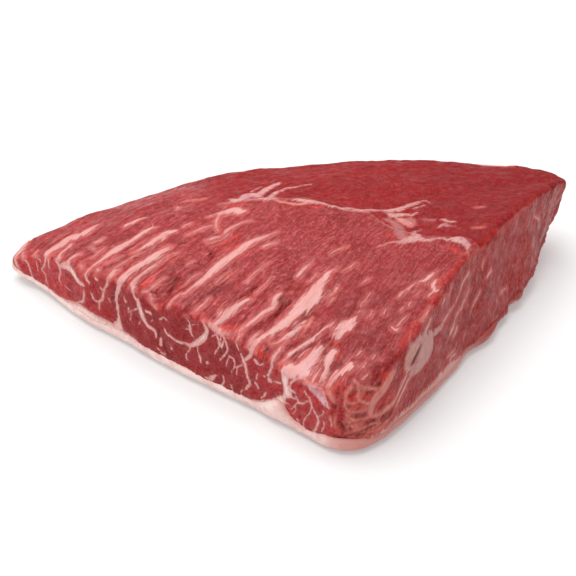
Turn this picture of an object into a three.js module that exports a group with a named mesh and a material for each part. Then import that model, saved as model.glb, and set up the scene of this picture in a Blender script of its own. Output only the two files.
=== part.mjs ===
// A raw picanha, the triangular cap of a beef rump, lying on its layer of fat.
//
// Millimetres, +Z up. X runs along the longest side, from the thin pointed end to the thick one.
// The face towards -Y and -X is cut across the grain, the one towards -Y and +X along it.
// The origin is under the middle of the piece, on the surface that it lies on.

import * as THREE from "three";
import { SimplexNoise } from "three/addons/math/SimplexNoise.js";

// Driving dimensions, in millimetres
const CENTRE = new THREE.Vector2(8, 11.5); // the place in plan from which the sections are drawn
const CENTRE_HEIGHT = 45; // top of the meat at the centre
const CROWN_POWER = 2.2; // how late the top falls from the centre to the edge
const FLAT_SHARE = 0.62; // share of the way to the edge that lies flat on the fat
const LIFT_POWER = 1.6; // how late the underside rises beyond it
const FAT_MIDDLE = 6; // thickness of the fat under the middle
const GAP = 0.35; // between the meat and the fat
const FAT_PROUD = 0.8; // how far the fat stands out past the meat
const FAT_ROUND = 2; // how far in the lower edge of the fat is rounded

// Division into faces
const TOP_RINGS = 18;
const TOP_SPACING_POWER = 0.75; // below 1, the rings are closer near the edge
const ROUND_RINGS = 4;
const SIDE_RINGS = 7;
const UNDER_SHARES = [0.93, 0.81, FLAT_SHARE]; // of the way from the centre to the foot
const BAND_SHARES = [0.25, 0.55, 0.85]; // of the height of the band of fat that shows

// The edge of the piece, anticlockwise from the thin end. Each station has the top edge, the foot of
// the side with the height of the underside there, the thickness of the fat, the radius of the top
// edge, and the number of strips up to the next station.
const EDGE = [
  { top: [-145.5, 33.5, 14], foot: [-146.5, 34, 5], fat: 3, round: 4, strips: 6 },
  { top: [-127, 20, 25], foot: [-128.5, 19, 2], fat: 3.5, round: 5, strips: 9 },
  { top: [-100.5, -7.5, 32], foot: [-102.5, -8.5, 1], fat: 4, round: 5, strips: 7 },
  { top: [-83, -20, 36], foot: [-84, -22.5, 1], fat: 5, round: 5, strips: 8 },
  { top: [-59.5, -41, 36], foot: [-61.5, -42.5, 1], fat: 5, round: 5, strips: 8 },
  { top: [-35.5, -58, 37], foot: [-36, -61.5, 1], fat: 4, round: 5, strips: 9 },
  { top: [-9, -79, 34.5], foot: [-9, -81.5, 1], fat: 5, round: 6, strips: 7 },
  { top: [6.5, -92.5, 32], foot: [8, -94.5, 1], fat: 5, round: 7, strips: 5 },
  { top: [16.5, -99.5, 33], foot: [17.5, -102.5, 1], fat: 7, round: 8, strips: 4 },
  { top: [27, -100.5, 36], foot: [29, -104, 1], fat: 7, round: 8, strips: 4 },
  { top: [36.5, -94, 39], foot: [39.5, -98, 1.5], fat: 3.5, round: 5, strips: 5 },
  { top: [48.5, -83.5, 42.5], foot: [56.5, -78.5, 1.5], fat: 4, round: 3, strips: 6 },
  { top: [64.5, -57.5, 47.5], foot: [75, -52.5, 1], fat: 3.5, round: 2, strips: 6 },
  { top: [77, -33.5, 50], foot: [87.5, -32.5, 1.5], fat: 4, round: 2, strips: 4 },
  { top: [91, -12, 51], foot: [98.5, -23, 2], fat: 5, round: 2, strips: 4 },
  { top: [107, 12.5, 51], foot: [107.5, 0, 4], fat: 3, round: 2, strips: 5 },
  { top: [121.5, 32, 49.5], foot: [121.5, 16.5, 7], fat: 3, round: 2, strips: 3 },
  { top: [132, 47, 46.5], foot: [129, 35.5, 11], fat: 3, round: 2, strips: 3 },
  { top: [142, 62, 43], foot: [140.5, 58.5, 20], fat: 4, round: 2.5, strips: 2 },
  { top: [145, 68, 40], foot: [146, 69.5, 26], fat: 7, round: 2.5, strips: 2 },
  { top: [135.5, 75.5, 41], foot: [136.5, 76.5, 29], fat: 8, round: 2, strips: 4 },
  { top: [116, 86, 38.5], foot: [117, 88, 22], fat: 9, round: 3, strips: 5 },
  { top: [91, 94, 36.5], foot: [92, 96.5, 12], fat: 8, round: 6, strips: 5 },
  { top: [65.5, 99.5, 35.5], foot: [66.5, 103, 7], fat: 7, round: 8, strips: 6 },
  { top: [30, 100, 34.5], foot: [30, 103.5, 4], fat: 6, round: 9, strips: 5 },
  { top: [-5, 97, 33.5], foot: [-5.5, 100.5, 3], fat: 6, round: 9, strips: 6 },
  { top: [-40, 91, 32], foot: [-41, 93.5, 3], fat: 5.5, round: 8, strips: 5 },
  { top: [-74, 74.5, 29.5], foot: [-75, 77, 3], fat: 5, round: 7, strips: 5 },
  { top: [-99, 63.5, 26.5], foot: [-100, 65.5, 3], fat: 5, round: 6, strips: 5 },
  { top: [-123.5, 53, 21], foot: [-124.5, 54.5, 3.5], fat: 4, round: 5, strips: 4 },
  { top: [-139.5, 43, 16.5], foot: [-140.5, 44, 4.5], fat: 3.5, round: 4, strips: 3 },
];

// The muscle fibres fan out from one far point in plan
const FIBRE_POLE = new THREE.Vector2(316, 383.5);
const FIBRE_REACH = 500; // distance at which the spacing across the fibres is measured

// Bundles of fibres end at the face cut across the grain, and open there as ridges
const BUNDLE_WIDTH = 11;
const BUNDLE_HEIGHT = 1.5;
const BUNDLE_LENGTH = 44; // along the fibres, from one swell to the next
const BUNDLE_REACH = 55; // how far they run in from the cut face

// Clefts between bundles, open at the cut face: where each starts and ends in plan, width and depth
const CLEFTS = [
  { from: [-64, -39.5], to: [-53, -23.5], width: 4, depth: 3.5 },
  { from: [-46, -14.5], to: [-36, 0.5], width: 4, depth: 3 },
  { from: [-76, -25.5], to: [-56, -1.5], width: 2.5, depth: 1.6 },
  { from: [-33, -59.5], to: [-14, -31.5], width: 2.5, depth: 1.8 },
  { from: [-20, -71.5], to: [4, -33.5], width: 3, depth: 2 },
  { from: [-4, -81.5], to: [16, -47.5], width: 3, depth: 2.2 },
  { from: [10, -85.5], to: [24, -63.5], width: 3, depth: 2.2 },
];

// One muscle layer ends on top of the other along this line, with a lip towards the cut face
const SEAM = [
  [-48, 36.5],
  [-29, 39.5],
  [-9, 39.5],
  [9, 37.5],
  [28, 24.5],
  [40, 21.5],
  [51, 4.5],
  [67, -2.5],
  [83, -6.5],
  [88, -13.5],
];
const LIP_HEIGHT = 3.2;
const LIP_WIDTH = 3; // over which it steps up
const LIP_REACH = 45; // over which it fades into the layer

// A wedge of fat stands up from the layer between the large muscle and the small one at the corner
const WEDGE_PLACE = new THREE.Vector2(-5, -83.5);
const WEDGE_HEIGHT = 7;
const WEDGE_WIDTH = 6;
const WEDGE_SHARE = 0.8; // share of the way to the edge at which it starts

// The small muscle bulges at the front corner
const CORNER_PLACE = new THREE.Vector3(22, -95.5, 18);
const CORNER_RADIUS = 17;
const CORNER_BULGE = 1.6;

// Uneven surface
const TOP_SWELL = { size: 34, height: 0.9 };
const TOP_LUMPS = { size: 11, height: 0.35 };
const SIDE_SWELL = { size: 26, height: 0.8 };
const SIDE_LUMPS = { size: 9, height: 0.4 };
const FAT_SWELL = { size: 14, height: 0.35 };

const MEAT = new THREE.MeshStandardMaterial({ color: 0xa83c3e, roughness: 0.45, metalness: 0 });
const FAT = new THREE.MeshStandardMaterial({ color: 0xeccabd, roughness: 0.5, metalness: 0 });

function seededRandom(seed) {
  const MULTIPLIER = 16807;
  const MODULUS = 2147483647;
  let state = seed;
  return {
    random() {
      state = (state * MULTIPLIER) % MODULUS;
      return state / MODULUS;
    },
  };
}

const noise = new SimplexNoise(seededRandom(71));

// Height of smooth noise at a point, for a swell of the given size
function swell({ size, height }, x, y, z = 0) {
  return height * noise.noise3d(x / size, y / size, z / size);
}

const bell = (distance, width) => Math.exp(-((distance / width) ** 2));

// Distance in plan from a point to a stretch, how far along it the point lies, and on which side
function beside(x, y, [ax, ay], [bx, by]) {
  const length = Math.hypot(bx - ax, by - ay);
  const along = ((x - ax) * (bx - ax) + (y - ay) * (by - ay)) / length;
  const across = ((bx - ax) * (y - ay) - (by - ay) * (x - ax)) / length;
  const past = along - THREE.MathUtils.clamp(along, 0, length);
  return { distance: Math.hypot(across, past), share: along / length, side: Math.sign(across) };
}

// The edge as evenly named samples along smooth curves through the stations
function sampleEdge() {
  const curve = (key) => new THREE.CatmullRomCurve3(EDGE.map((s) => new THREE.Vector3(...s[key])), true);
  const topCurve = curve("top");
  const footCurve = curve("foot");
  const samples = [];
  EDGE.forEach((station, i) => {
    const next = EDGE[(i + 1) % EDGE.length];
    for (let k = 0; k < station.strips; k += 1) {
      const share = k / station.strips;
      const t = (i + share) / EDGE.length;
      samples.push({
        top: topCurve.getPoint(t),
        foot: footCurve.getPoint(t),
        fat: THREE.MathUtils.lerp(station.fat, next.fat, THREE.MathUtils.smoothstep(share, 0, 1)),
        round: THREE.MathUtils.lerp(station.round, next.round, share),
      });
    }
  });
  samples.forEach((sample) => {
    const towardsCentre = new THREE.Vector2(CENTRE.x - sample.top.x, CENTRE.y - sample.top.y);
    sample.reach = towardsCentre.length();
    sample.inward = towardsCentre.normalize();
  });
  return samples;
}

// Distance in from the face that is cut across the grain, which runs straight in plan
const CUT_FACE = [EDGE[0].top, EDGE[7].top];
function inFromCutFace(x, y) {
  return beside(x, y, CUT_FACE[0], CUT_FACE[1]).distance;
}

function acrossFibres(x, y) {
  return Math.atan2(FIBRE_POLE.y - y, FIBRE_POLE.x - x) * FIBRE_REACH;
}

function bundleRidges(x, y) {
  const fade = bell(inFromCutFace(x, y), BUNDLE_REACH);
  const across = acrossFibres(x, y) / BUNDLE_WIDTH;
  return BUNDLE_HEIGHT * fade * noise.noise(across, inFromCutFace(x, y) / BUNDLE_LENGTH);
}

function clefts(x, y) {
  let depth = 0;
  CLEFTS.forEach((cleft) => {
    const { distance } = beside(x, y, cleft.from, cleft.to);
    depth = Math.max(depth, cleft.depth * bell(distance, cleft.width));
  });
  return -depth;
}

function seamLip(x, y) {
  let nearest = { distance: Infinity };
  for (let i = 0; i + 1 < SEAM.length; i += 1) {
    const found = beside(x, y, SEAM[i], SEAM[i + 1]);
    if (found.distance < nearest.distance) {
      nearest = found;
      nearest.start = i + THREE.MathUtils.clamp(found.share, 0, 1);
    }
  }
  const inFront = -nearest.side * nearest.distance;
  const step = THREE.MathUtils.smoothstep(inFront, -LIP_WIDTH, LIP_WIDTH / 2);
  const fade = bell(Math.max(inFront, 0), LIP_REACH) * THREE.MathUtils.smoothstep(nearest.start, 0, 2);
  return LIP_HEIGHT * step * fade;
}

// Height of the top of the meat at a share of the way from the centre to an edge sample
function topPoint(sample, share, inset) {
  const reach = sample.reach - inset;
  const x = CENTRE.x - sample.inward.x * reach * share;
  const y = CENTRE.y - sample.inward.y * reach * share;
  const crown = (CENTRE_HEIGHT - sample.top.z) * (1 - share ** CROWN_POWER);
  const uneven = swell(TOP_SWELL, x, y) + swell(TOP_LUMPS, x, y);
  const relief = bundleRidges(x, y) + clefts(x, y) + seamLip(x, y);
  return new THREE.Vector3(x, y, sample.top.z + crown + uneven + relief);
}

// Height of the underside of the fat
function undersideHeight(sample, share) {
  const rise = Math.max(0, (share - FLAT_SHARE) / (1 - FLAT_SHARE));
  return sample.foot.z * rise ** LIFT_POWER;
}

// Thickness of the fat, with the wedge that stands up between the two muscles
function fatThickness(sample, share) {
  const layer = THREE.MathUtils.lerp(FAT_MIDDLE, sample.fat, share ** 2);
  const away = Math.hypot(sample.foot.x - WEDGE_PLACE.x, sample.foot.y - WEDGE_PLACE.y);
  return layer + WEDGE_HEIGHT * bell(away, WEDGE_WIDTH) * THREE.MathUtils.smoothstep(share, WEDGE_SHARE, 1);
}

// A place under the piece, in plan at a share of the way out to the foot, less an inset
function footPoint(sample, share, inset, z) {
  const outwardX = sample.foot.x - CENTRE.x;
  const outwardY = sample.foot.y - CENTRE.y;
  const reach = Math.hypot(outwardX, outwardY);
  const scale = (share * (reach - inset)) / reach;
  return new THREE.Vector3(CENTRE.x + outwardX * scale, CENTRE.y + outwardY * scale, z);
}

// A point of the side moved outwards by the uneven surface and the bulge of the corner muscle
function roughened(point, sample, amount) {
  const corner = point.distanceTo(CORNER_PLACE);
  const out =
    swell(SIDE_SWELL, point.x, point.y, point.z) +
    swell(SIDE_LUMPS, point.x, point.y, point.z) +
    CORNER_BULGE * bell(corner, CORNER_RADIUS);
  point.x -= sample.inward.x * out * amount;
  point.y -= sample.inward.y * out * amount;
  return point;
}

// A closed body from rings of points, its first and last ring each drawn together in one point
function closedBody(firstPole, rings, lastPole) {
  const count = rings[0].length;
  const points = [firstPole, ...rings.flat(), lastPole];
  const last = points.length - 1;
  const faces = [];
  for (let i = 0; i < count; i += 1) {
    const j = (i + 1) % count;
    faces.push(0, 1 + i, 1 + j);
    for (let ring = 0; ring + 1 < rings.length; ring += 1) {
      const a = 1 + ring * count;
      const b = a + count;
      faces.push(a + i, b + i, b + j, a + i, b + j, a + j);
    }
    const end = 1 + (rings.length - 1) * count;
    faces.push(last, end + j, end + i);
  }
  if (lastPole.z > firstPole.z) {
    faces.reverse();
  }
  const geometry = new THREE.BufferGeometry().setFromPoints(points);
  geometry.setIndex(faces);
  geometry.computeVertexNormals();
  return geometry;
}

// A ring of the surface on which the meat lies on the fat
function beddingRing(samples, share, lift) {
  return samples.map((sample) => {
    const z = undersideHeight(sample, share) + fatThickness(sample, share) + lift;
    return footPoint(sample, share, FAT_PROUD, z);
  });
}

function topRings(samples) {
  const rings = [];
  for (let k = 1; k <= TOP_RINGS; k += 1) {
    const share = (k / TOP_RINGS) ** TOP_SPACING_POWER;
    rings.push(samples.map((sample) => topPoint(sample, share, sample.round)));
  }
  return rings;
}

// The rounded top edge
function edgeRings(samples) {
  const rings = [];
  for (let k = 1; k <= ROUND_RINGS; k += 1) {
    const angle = (k / ROUND_RINGS) * (Math.PI / 2);
    const ring = samples.map((sample) => {
      const inset = sample.round * (1 - Math.sin(angle));
      const x = sample.top.x + sample.inward.x * inset;
      const y = sample.top.y + sample.inward.y * inset;
      const z = topPoint(sample, 1, sample.round).z - sample.round * (1 - Math.cos(angle));
      return roughened(new THREE.Vector3(x, y, z), sample, Math.sin(angle));
    });
    rings.push(ring);
  }
  return rings;
}

// The sides, from the rounded edge above down to the fat
function sideRings(samples, upper, lower) {
  const rings = [];
  for (let k = 1; k < SIDE_RINGS; k += 1) {
    const share = k / SIDE_RINGS;
    const between = (i) => upper[i].clone().lerp(lower[i], share);
    rings.push(samples.map((sample, i) => roughened(between(i), sample, 1 - share)));
  }
  return rings;
}

function leanMuscle(samples) {
  const edge = edgeRings(samples);
  const foot = beddingRing(samples, 1, GAP);
  const bedding = UNDER_SHARES.map((share) => beddingRing(samples, share, GAP));
  const sides = sideRings(samples, edge[edge.length - 1], foot);
  const over = new THREE.Vector3(CENTRE.x, CENTRE.y, topPoint(samples[0], 0, 0).z);
  const under = new THREE.Vector3(CENTRE.x, CENTRE.y, FAT_MIDDLE + GAP);
  return closedBody(over, [...topRings(samples), ...edge, ...sides, foot, ...bedding], under);
}

// The layer of fat from its flat underside out to the edge, up the band that shows, and back in
function fatCap(samples) {
  const base = [...UNDER_SHARES.toReversed(), 1].map((share) =>
    samples.map((sample) => footPoint(sample, share, FAT_ROUND, undersideHeight(sample, share))),
  );
  const band = BAND_SHARES.map((share) =>
    samples.map((sample) => {
      const z = undersideHeight(sample, 1) + fatThickness(sample, 1) * share;
      const out = Math.abs(swell(FAT_SWELL, sample.foot.x, sample.foot.y, z));
      return footPoint(sample, 1, -out, z);
    }),
  );
  const bedding = [1, ...UNDER_SHARES].map((share) => beddingRing(samples, share, 0));
  const under = new THREE.Vector3(CENTRE.x, CENTRE.y, 0);
  const over = new THREE.Vector3(CENTRE.x, CENTRE.y, FAT_MIDDLE);
  return closedBody(under, [...base, ...band, ...bedding], over);
}

function named(name, geometry, material) {
  const mesh = new THREE.Mesh(geometry, material);
  mesh.name = name;
  return mesh;
}

const samples = sampleEdge();
const picanha = new THREE.Group();
picanha.add(named("lean_muscle", leanMuscle(samples), MEAT));
picanha.add(named("fat_cap", fatCap(samples), FAT));

// Set the origin under the middle of the piece
const box = new THREE.Box3().setFromObject(picanha);
const middle = box.getCenter(new THREE.Vector3());
picanha.position.set(-middle.x, -middle.y, -box.min.z);

export default picanha;
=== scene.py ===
"""A raw picanha lying on its layer of fat, on a white studio floor."""

import math

import bpy
import numpy as np
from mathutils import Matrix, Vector, noise
from mathutils.bvhtree import BVHTree


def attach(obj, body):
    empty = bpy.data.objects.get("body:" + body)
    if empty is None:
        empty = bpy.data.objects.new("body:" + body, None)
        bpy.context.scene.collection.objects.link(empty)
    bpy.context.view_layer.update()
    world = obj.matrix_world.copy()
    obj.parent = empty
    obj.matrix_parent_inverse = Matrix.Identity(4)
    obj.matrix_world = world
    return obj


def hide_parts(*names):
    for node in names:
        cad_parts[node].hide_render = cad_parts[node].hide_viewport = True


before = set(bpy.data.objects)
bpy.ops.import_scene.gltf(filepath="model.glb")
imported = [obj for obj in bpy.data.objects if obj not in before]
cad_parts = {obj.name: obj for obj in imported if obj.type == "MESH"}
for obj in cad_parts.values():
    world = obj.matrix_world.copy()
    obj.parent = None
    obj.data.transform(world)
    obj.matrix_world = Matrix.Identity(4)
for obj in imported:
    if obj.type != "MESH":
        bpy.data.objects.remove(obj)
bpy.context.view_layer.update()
MM = 0.001

# Places below are in millimetres: on the top in plan, on a side as the distance along it and the
# height. Both sides run straight in plan between these corners.
THIN_END = np.array([-145.2, 33.2])
FRONT_CORNER = np.array([6.8, -92.8])
RIGHT_SIDE_START = np.array([36.8, -94.3])
THICK_END = np.array([142.3, 61.7])
SIDE_SHELL = 90.0  # how far outside a side the lines are drawn from before they are laid on it

# Swellings of the foot: the place in plan, how far each spreads and how far it stands out, less than
# 0 for a dent
FOOT_SWELLS = [((107, -3), 8, 2.6), ((113, 9), 8, 2.4), ((124, 30), 9, 2.0), ((97, -21), 7, -1.5),
               ((4, -99), 9, 1.3)]
FOOT_HEIGHT = 22.0

# Fibres fan out over the top from one far point, run nearly along X behind the seam, and rise
# across the right side
FIBRE_POLE = np.array([316.3, 383.2])
FIBRE_REACH = 500.0
BACK_FIBRE_ANGLE = math.radians(12)
SIDE_FIBRE_ANGLE = math.radians(44)

# The line where the upper muscle layer ends on the lower one
SEAM = [(-110, 50), (-70, 44), (-48, 36.5), (-29, 39.5), (-9, 39.5), (9, 37.5), (28, 24.5),
        (40, 21.5), (51, 4.5), (67, -2.5), (83, -6.5), (93, -16)]

# The upper edge of the face that is cut across the grain
CUT_EDGE = [(-145, 34), (-126, 22), (-99, -5), (-58, -39), (-35, -56), (-9, -77), (7, -90), (18, -97)]

# Streaks of fat on the top: widths spread evenly over the line, then the line in plan
TOP_STREAKS = [
    ((0.6, 1.4, 2.4, 3.5, 4.2, 4.5, 4.9, 4.5, 3.8, 3.1), [(-7, 5), (-11, 3), (-15.5, 1), (-19.5, -1.5),
       (-24.5, -6), (-30, -11.5), (-34, -16.5), (-37.5, -21.5), (-41, -26.5), (-43, -29)]),
    ((2.6, 1.6, 1.5, 1.5, 1.5, 1.2), [(-43, -29), (-46, -32), (-49, -35.5), (-52, -35.5), (-55, -37.5),
       (-57, -40.5)]),
    ((0.4, 1.1, 2, 3.3, 4.9, 7.5, 8.7, 7, 5.6, 5), [(22.5, -24), (20.5, -26), (18, -27.5), (15.5, -32.5),
       (12, -39), (9.5, -43.5), (5, -48), (3, -50.5), (1, -53.5)]),
    ((0.7, 3.5, 4, 4.4), [(-98.5, 38.5), (-101, 36.5), (-103.5, 35), (-106, 33.5)]),
    ((4, 4.4, 4.4, 4.8, 4.8), [(-109.5, 33), (-113.5, 32), (-117, 29), (-120, 25.5), (-123, 20.5)]),
    ((2.5, 2.5, 2.3, 2), [(-112, 26.5), (-113.5, 22), (-115, 16.5), (-116, 11)]),
    ((1.6, 2.1, 3.1, 3.1), [(-105, 10), (-107, 9.5), (-109, 7.5), (-110.5, 5)]),
    ((0.6, 2.6, 3.8, 3, 3, 3.8, 4.5, 4.5, 4.2, 3.4, 2.6), [(-67, 22.5), (-70, 22.5), (-72.5, 21),
       (-76, 17.5), (-78.5, 14.5), (-81.5, 12), (-84.5, 10), (-88, 7.5), (-90.5, 4.5), (-93.5, 1),
       (-96.5, -1.5)]),
    ((1, 2.3, 2.6, 3.3, 3.3, 2, 1.6, 1), [(-58, 15.5), (-61, 15.5), (-64, 13), (-67, 9.5), (-69.5, 6),
       (-72.5, 3.5), (-75, 1.5), (-77.5, 0.5)]),
    ((0.7, 1.2, 1.2, 1, 0.7), [(-72.5, -0.5), (-76, -2), (-79.5, -3.5), (-82.5, -5.5), (-85.5, -8)]),
    ((0.8, 2.7, 4.2, 4.6, 3.4, 3.4, 4.2, 3.8, 4.2), [(-58.5, 2), (-61.5, -1), (-64, -3.5), (-66.5, -6),
       (-69.5, -8), (-72.5, -10), (-75.5, -12.5), (-78, -15), (-80, -17.5)]),
    ((0.5, 1.5, 2, 2, 2, 2.3, 2.6), [(-62, -7), (-64, -9), (-66.5, -11.5), (-69, -14), (-72, -17.5),
       (-74, -20), (-75, -23)]),
    ((0.8, 1.7, 1.2), [(-93.5, 21.5), (-96, 19), (-98.5, 17.5)]),
    ((1.7, 2.1, 2.1, 2.8), [(-74, 34.5), (-77.5, 34), (-80.5, 31.5), (-83.5, 30)]),
    ((0.7, 1, 0.7), [(-93, 12.5), (-95.5, 9.5), (-98, 6)]),
    ((0.6, 0.8, 0.6), [(-83, 0), (-86, -2), (-90, -3.5)]),
    ((1.7, 1.7, 2.6), [(-83.5, -9.5), (-85, -10.5), (-87, -13.5)]),
    ((0.6, 0.8, 1.1, 1.3, 1.1), [(-59, -21.5), (-62, -23.5), (-65, -26), (-67, -28.5), (-70, -28.5)]),
    ((0.9, 1.3, 1.3, 1.1), [(-39, 17.5), (-43, 15.5), (-47.5, 12.5), (-51.5, 10)]),
    ((1.4, 1.8, 1.4), [(-34.5, 6.5), (-38, 6), (-41.5, 5)]),
    ((0.6, 0.7, 0.7, 0.6), [(-30, 7.5), (-33.5, 5), (-37, 4), (-40.5, 2)]),
    ((0.9, 1.1), [(-50, 21.5), (-53.5, 19)]),
    ((0.6, 0.7, 0.7), [(-54.5, -3.5), (-57.5, -4), (-60.5, -6.5)]),
    ((0.8, 0.8), [(-47.5, -11), (-49.5, -13)]),
    ((0.6, 0.9, 0.9, 0.6), [(-43, -20), (-45.5, -22), (-48, -24.5), (-50.5, -28.5)]),
    ((0.4, 0.7, 0.7), [(-29, -21.5), (-32.5, -26), (-35, -29.5)]),
    ((2.2, 2.6, 3.7), [(-57.5, 15.5), (-61, 14.5), (-64.5, 11)]),
    ((1.1, 1.8, 1.8, 1.4), [(-25, 14), (-29, 11), (-32, 9), (-32.5, 8)]),
    ((2.4, 4.7, 5.5, 3.9, 1.6), [(-33, 27.5), (-30.5, 29), (-27.5, 28.5), (-25, 25.5), (-22.5, 26)]),
    ((1, 1.3, 1.3, 1.7, 1.7), [(-19.5, 16), (-22.5, 15.5), (-26, 13.5), (-29.5, 11.5), (-32, 10)]),
    ((1, 1.7, 2), [(-7, -2), (-10, -3.5), (-13, -5.5)]),
    ((2.1, 2.6, 3.2, 3.7), [(-20, -40.5), (-24.5, -44.5), (-27.5, -48), (-30.5, -50)]),
    ((2.9, 3.4, 3.4, 2.9, 2.5), [(-25, -44.5), (-28, -48), (-30.5, -50.5), (-32.5, -53), (-34.5, -55)]),
    ((1.6, 2.7, 2.2, 1.9, 1.9, 2.2, 2.2, 1.6, 1.6), [(-4.5, -39), (-7, -42.5), (-8, -45.5), (-9.5, -48),
       (-13, -51), (-15.5, -54), (-18, -56), (-21, -58.5), (-23, -60)]),
    ((5.5, 4.9, 4, 3.4, 3.1, 3.1, 3.1), [(0, -55), (-3.5, -59), (-7, -62), (-10, -64), (-13, -65.5),
       (-15.5, -68), (-17, -70.5)]),
    ((0.5, 1.5, 1.5, 1), [(-14, -61.5), (-16, -64), (-18, -67), (-19, -69)]),
    ((1.7, 2.3, 2, 1.2, 0.6), [(4.5, -61), (1.5, -64), (-2, -66), (-5, -68.5), (-9, -70)]),
    ((1.3, 1.9, 1.3), [(6.5, -56.5), (4, -58), (1, -60.5)]),
    ((1.2, 1.5, 1.5, 1.8, 0.9), [(11, -69), (6.5, -70.5), (2.5, -72.5), (-0.5, -74.5), (-3.5, -78.5)]),
    ((0.8, 1.3, 1.6), [(-4.5, -71.5), (-6.5, -74.5), (-8, -76.5)]),
    ((0.7, 1, 1), [(8.5, -73.5), (6, -75), (4, -77.5)]),
    ((1, 2.5, 4.5, 6.5, 6, 4), [(30.5, -58), (28.5, -60), (27, -61.5), (25, -63), (22.5, -65),
       (20.5, -67.5)]),
    ((0.8, 1.6), [(31.5, -55.5), (31, -56.5)]),
    ((0.5, 0.6, 0.8, 0.8), [(36.5, -45.5), (34, -50), (32.5, -51), (32, -53.5)]),
    ((0.5, 0.6, 0.6), [(37, -56.5), (36, -59.5), (34.5, -60.5)]),
    ((1, 1.7, 1.7, 1.7, 2, 2), [(19.5, -61), (17, -62.5), (14, -64.5), (11, -67), (8, -69), (4, -71.5)]),
    ((0.7, 1.1, 0.8), [(12.5, -27), (10.5, -30), (8.5, -32)]),
    ((0.8, 1.7, 2, 1.7), [(10, -19), (7, -21.5), (4.5, -25.5), (3, -28)]),
    ((0.6, 0.9, 0.6), [(31, -21.5), (28.5, -24), (24.5, -27.5)]),
    ((1, 1.3, 0.6), [(36.5, -34.5), (35, -36), (33, -38.5)]),
    ((1.5, 1.2, 0.9, 0.6), [(21.5, -39), (20.5, -41), (18.5, -43), (17.5, -44)]),
    ((0.9, 0.7), [(20, -45.5), (17.5, -47)]),
    ((2.6, 4.7, 5.7, 6.2, 6.7, 6.2), [(13.5, -74.5), (11, -77), (9, -80), (6, -83), (3, -84.5),
       (0, -82.5)]),
    ((4.1, 4.7, 3.5, 2.4, 2.4, 1.2), [(19, -76.5), (17.5, -80), (16.5, -84), (16.5, -87), (15.5, -89.5),
       (14.5, -92)]),
    ((3, 4.2, 3, 1.8, 1.5, 1.2), [(26, -87), (25.5, -89), (23, -90.5), (20.5, -92.5), (18, -95),
       (16, -95.5)]),
    ((0.8, 1.1, 1.1), [(13.5, -85), (11.5, -88), (10, -91)]),
    ((0.6, 1.2, 0.9), [(15, -88), (14, -89.5), (13, -92)]), ((1.1, 1.1), [(31, -80), (29, -82.5)]),
    ((0.7, 1), [(37, -83.5), (36, -85.5)]), ((1, 1), [(33, -87.5), (31.5, -90)]),
    ((0.7, 0.9), [(33, -93.5), (31, -95.5)]),
    ((1.2, 2.3, 2, 1.5), [(66.5, -36), (64.5, -38.5), (62, -40.5), (59.5, -41)]),
    ((0.9, 1.4, 1.4, 1.4, 1.2), [(58, -41.5), (55.5, -43.5), (53.5, -45.5), (51, -47.5), (49.5, -50)]),
    ((1.5, 2.5, 1.5), [(67, -41), (65.5, -44), (65.5, -47)]),
    ((1.6, 1.6, 1.3), [(67, -48), (64.5, -49), (62.5, -51)]), ((1.1, 0.8), [(54.5, -54), (53.5, -56)]),
    ((0.8, 0.6), [(51, -56), (49.5, -58)]), ((0.7, 0.9, 0.9), [(52.5, -62), (50, -64.5), (47.5, -67)]),
    ((1.2, 1.5, 0.9), [(45, -66.5), (47, -69.5), (48.5, -69)]), ((0.5, 0.7), [(43, -56.5), (42, -59.5)]),
    ((0.4, 0.6, 0.4), [(-44, 48), (-55, 50)]), ((1, 1.2, 0.8), [(-58, 40), (-58, 44)]),
    ((0.3, 0.7, 0.6), [(-10, -17), (-17, -25), (-21, -30)]),
    ((0.3, 0.7, 1), [(-9, -28), (-12, -32), (-16, -36)]),
    ((1.4, 1.5, 0.8), [(-34, -55), (-33, -60), (-28, -62)]),
    ((0.5, 0.9, 0.5), [(27, -9), (23, -11), (19, -14)]), ((0.6, 0.8, 0.6), [(60, -47), (57, -50)]),
    ((0.5, 0.6, 0.5), [(93, 27), (97, 27)]), ((0.5, 0.5, 0.4), [(89, 4), (94, 4)]),
    ((2, 3, 1), [(104, 87), (111, 85), (119, 82)]), ((0.4, 0.6, 0.4), [(9, -88), (13, -81), (15, -78)]),
    ((0.4, 0.6, 0.4), [(8, -89), (11, -83), (12, -81)]),
    ((0.9, 2, 1.1), [(-22, 25), (-26, 29), (-31, 30), (-35, 28), (-37, 22), (-37, 16), (-36, 12)]),
    ((2.4, 2.2, 1), [(-27, 27), (-32, 29), (-37, 28), (-42, 26)]),
    ((1, 0.8, 0.5), [(14, -79.5), (11.5, -84), (9.5, -90.5)]),
    ((1.1, 0.9, 0.6), [(15, -90), (14, -91.5), (13, -93.5)]),
    ((1.5, 1.2, 0.9, 0.6), [(17, -88), (15.5, -90.5), (14.5, -93), (13.5, -94)]),
    ((1.9, 1.6, 1.3, 0.9), [(20.5, -89.5), (18.5, -92), (17, -94), (15.5, -95.5)]),
    ((0.9, 0.7, 0.7, 0.6), [(22, -91), (20, -93.5), (18, -95.5), (16.5, -96.5)]),
    ((0.6, 0.6, 0.5), [(12, -87), (11, -89), (10, -91.5)]),
    ((0.6, 0.7, 0.7, 0.5), [(10, -93), (13.5, -95), (15, -98), (16.5, -100.5)]),
]

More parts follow.
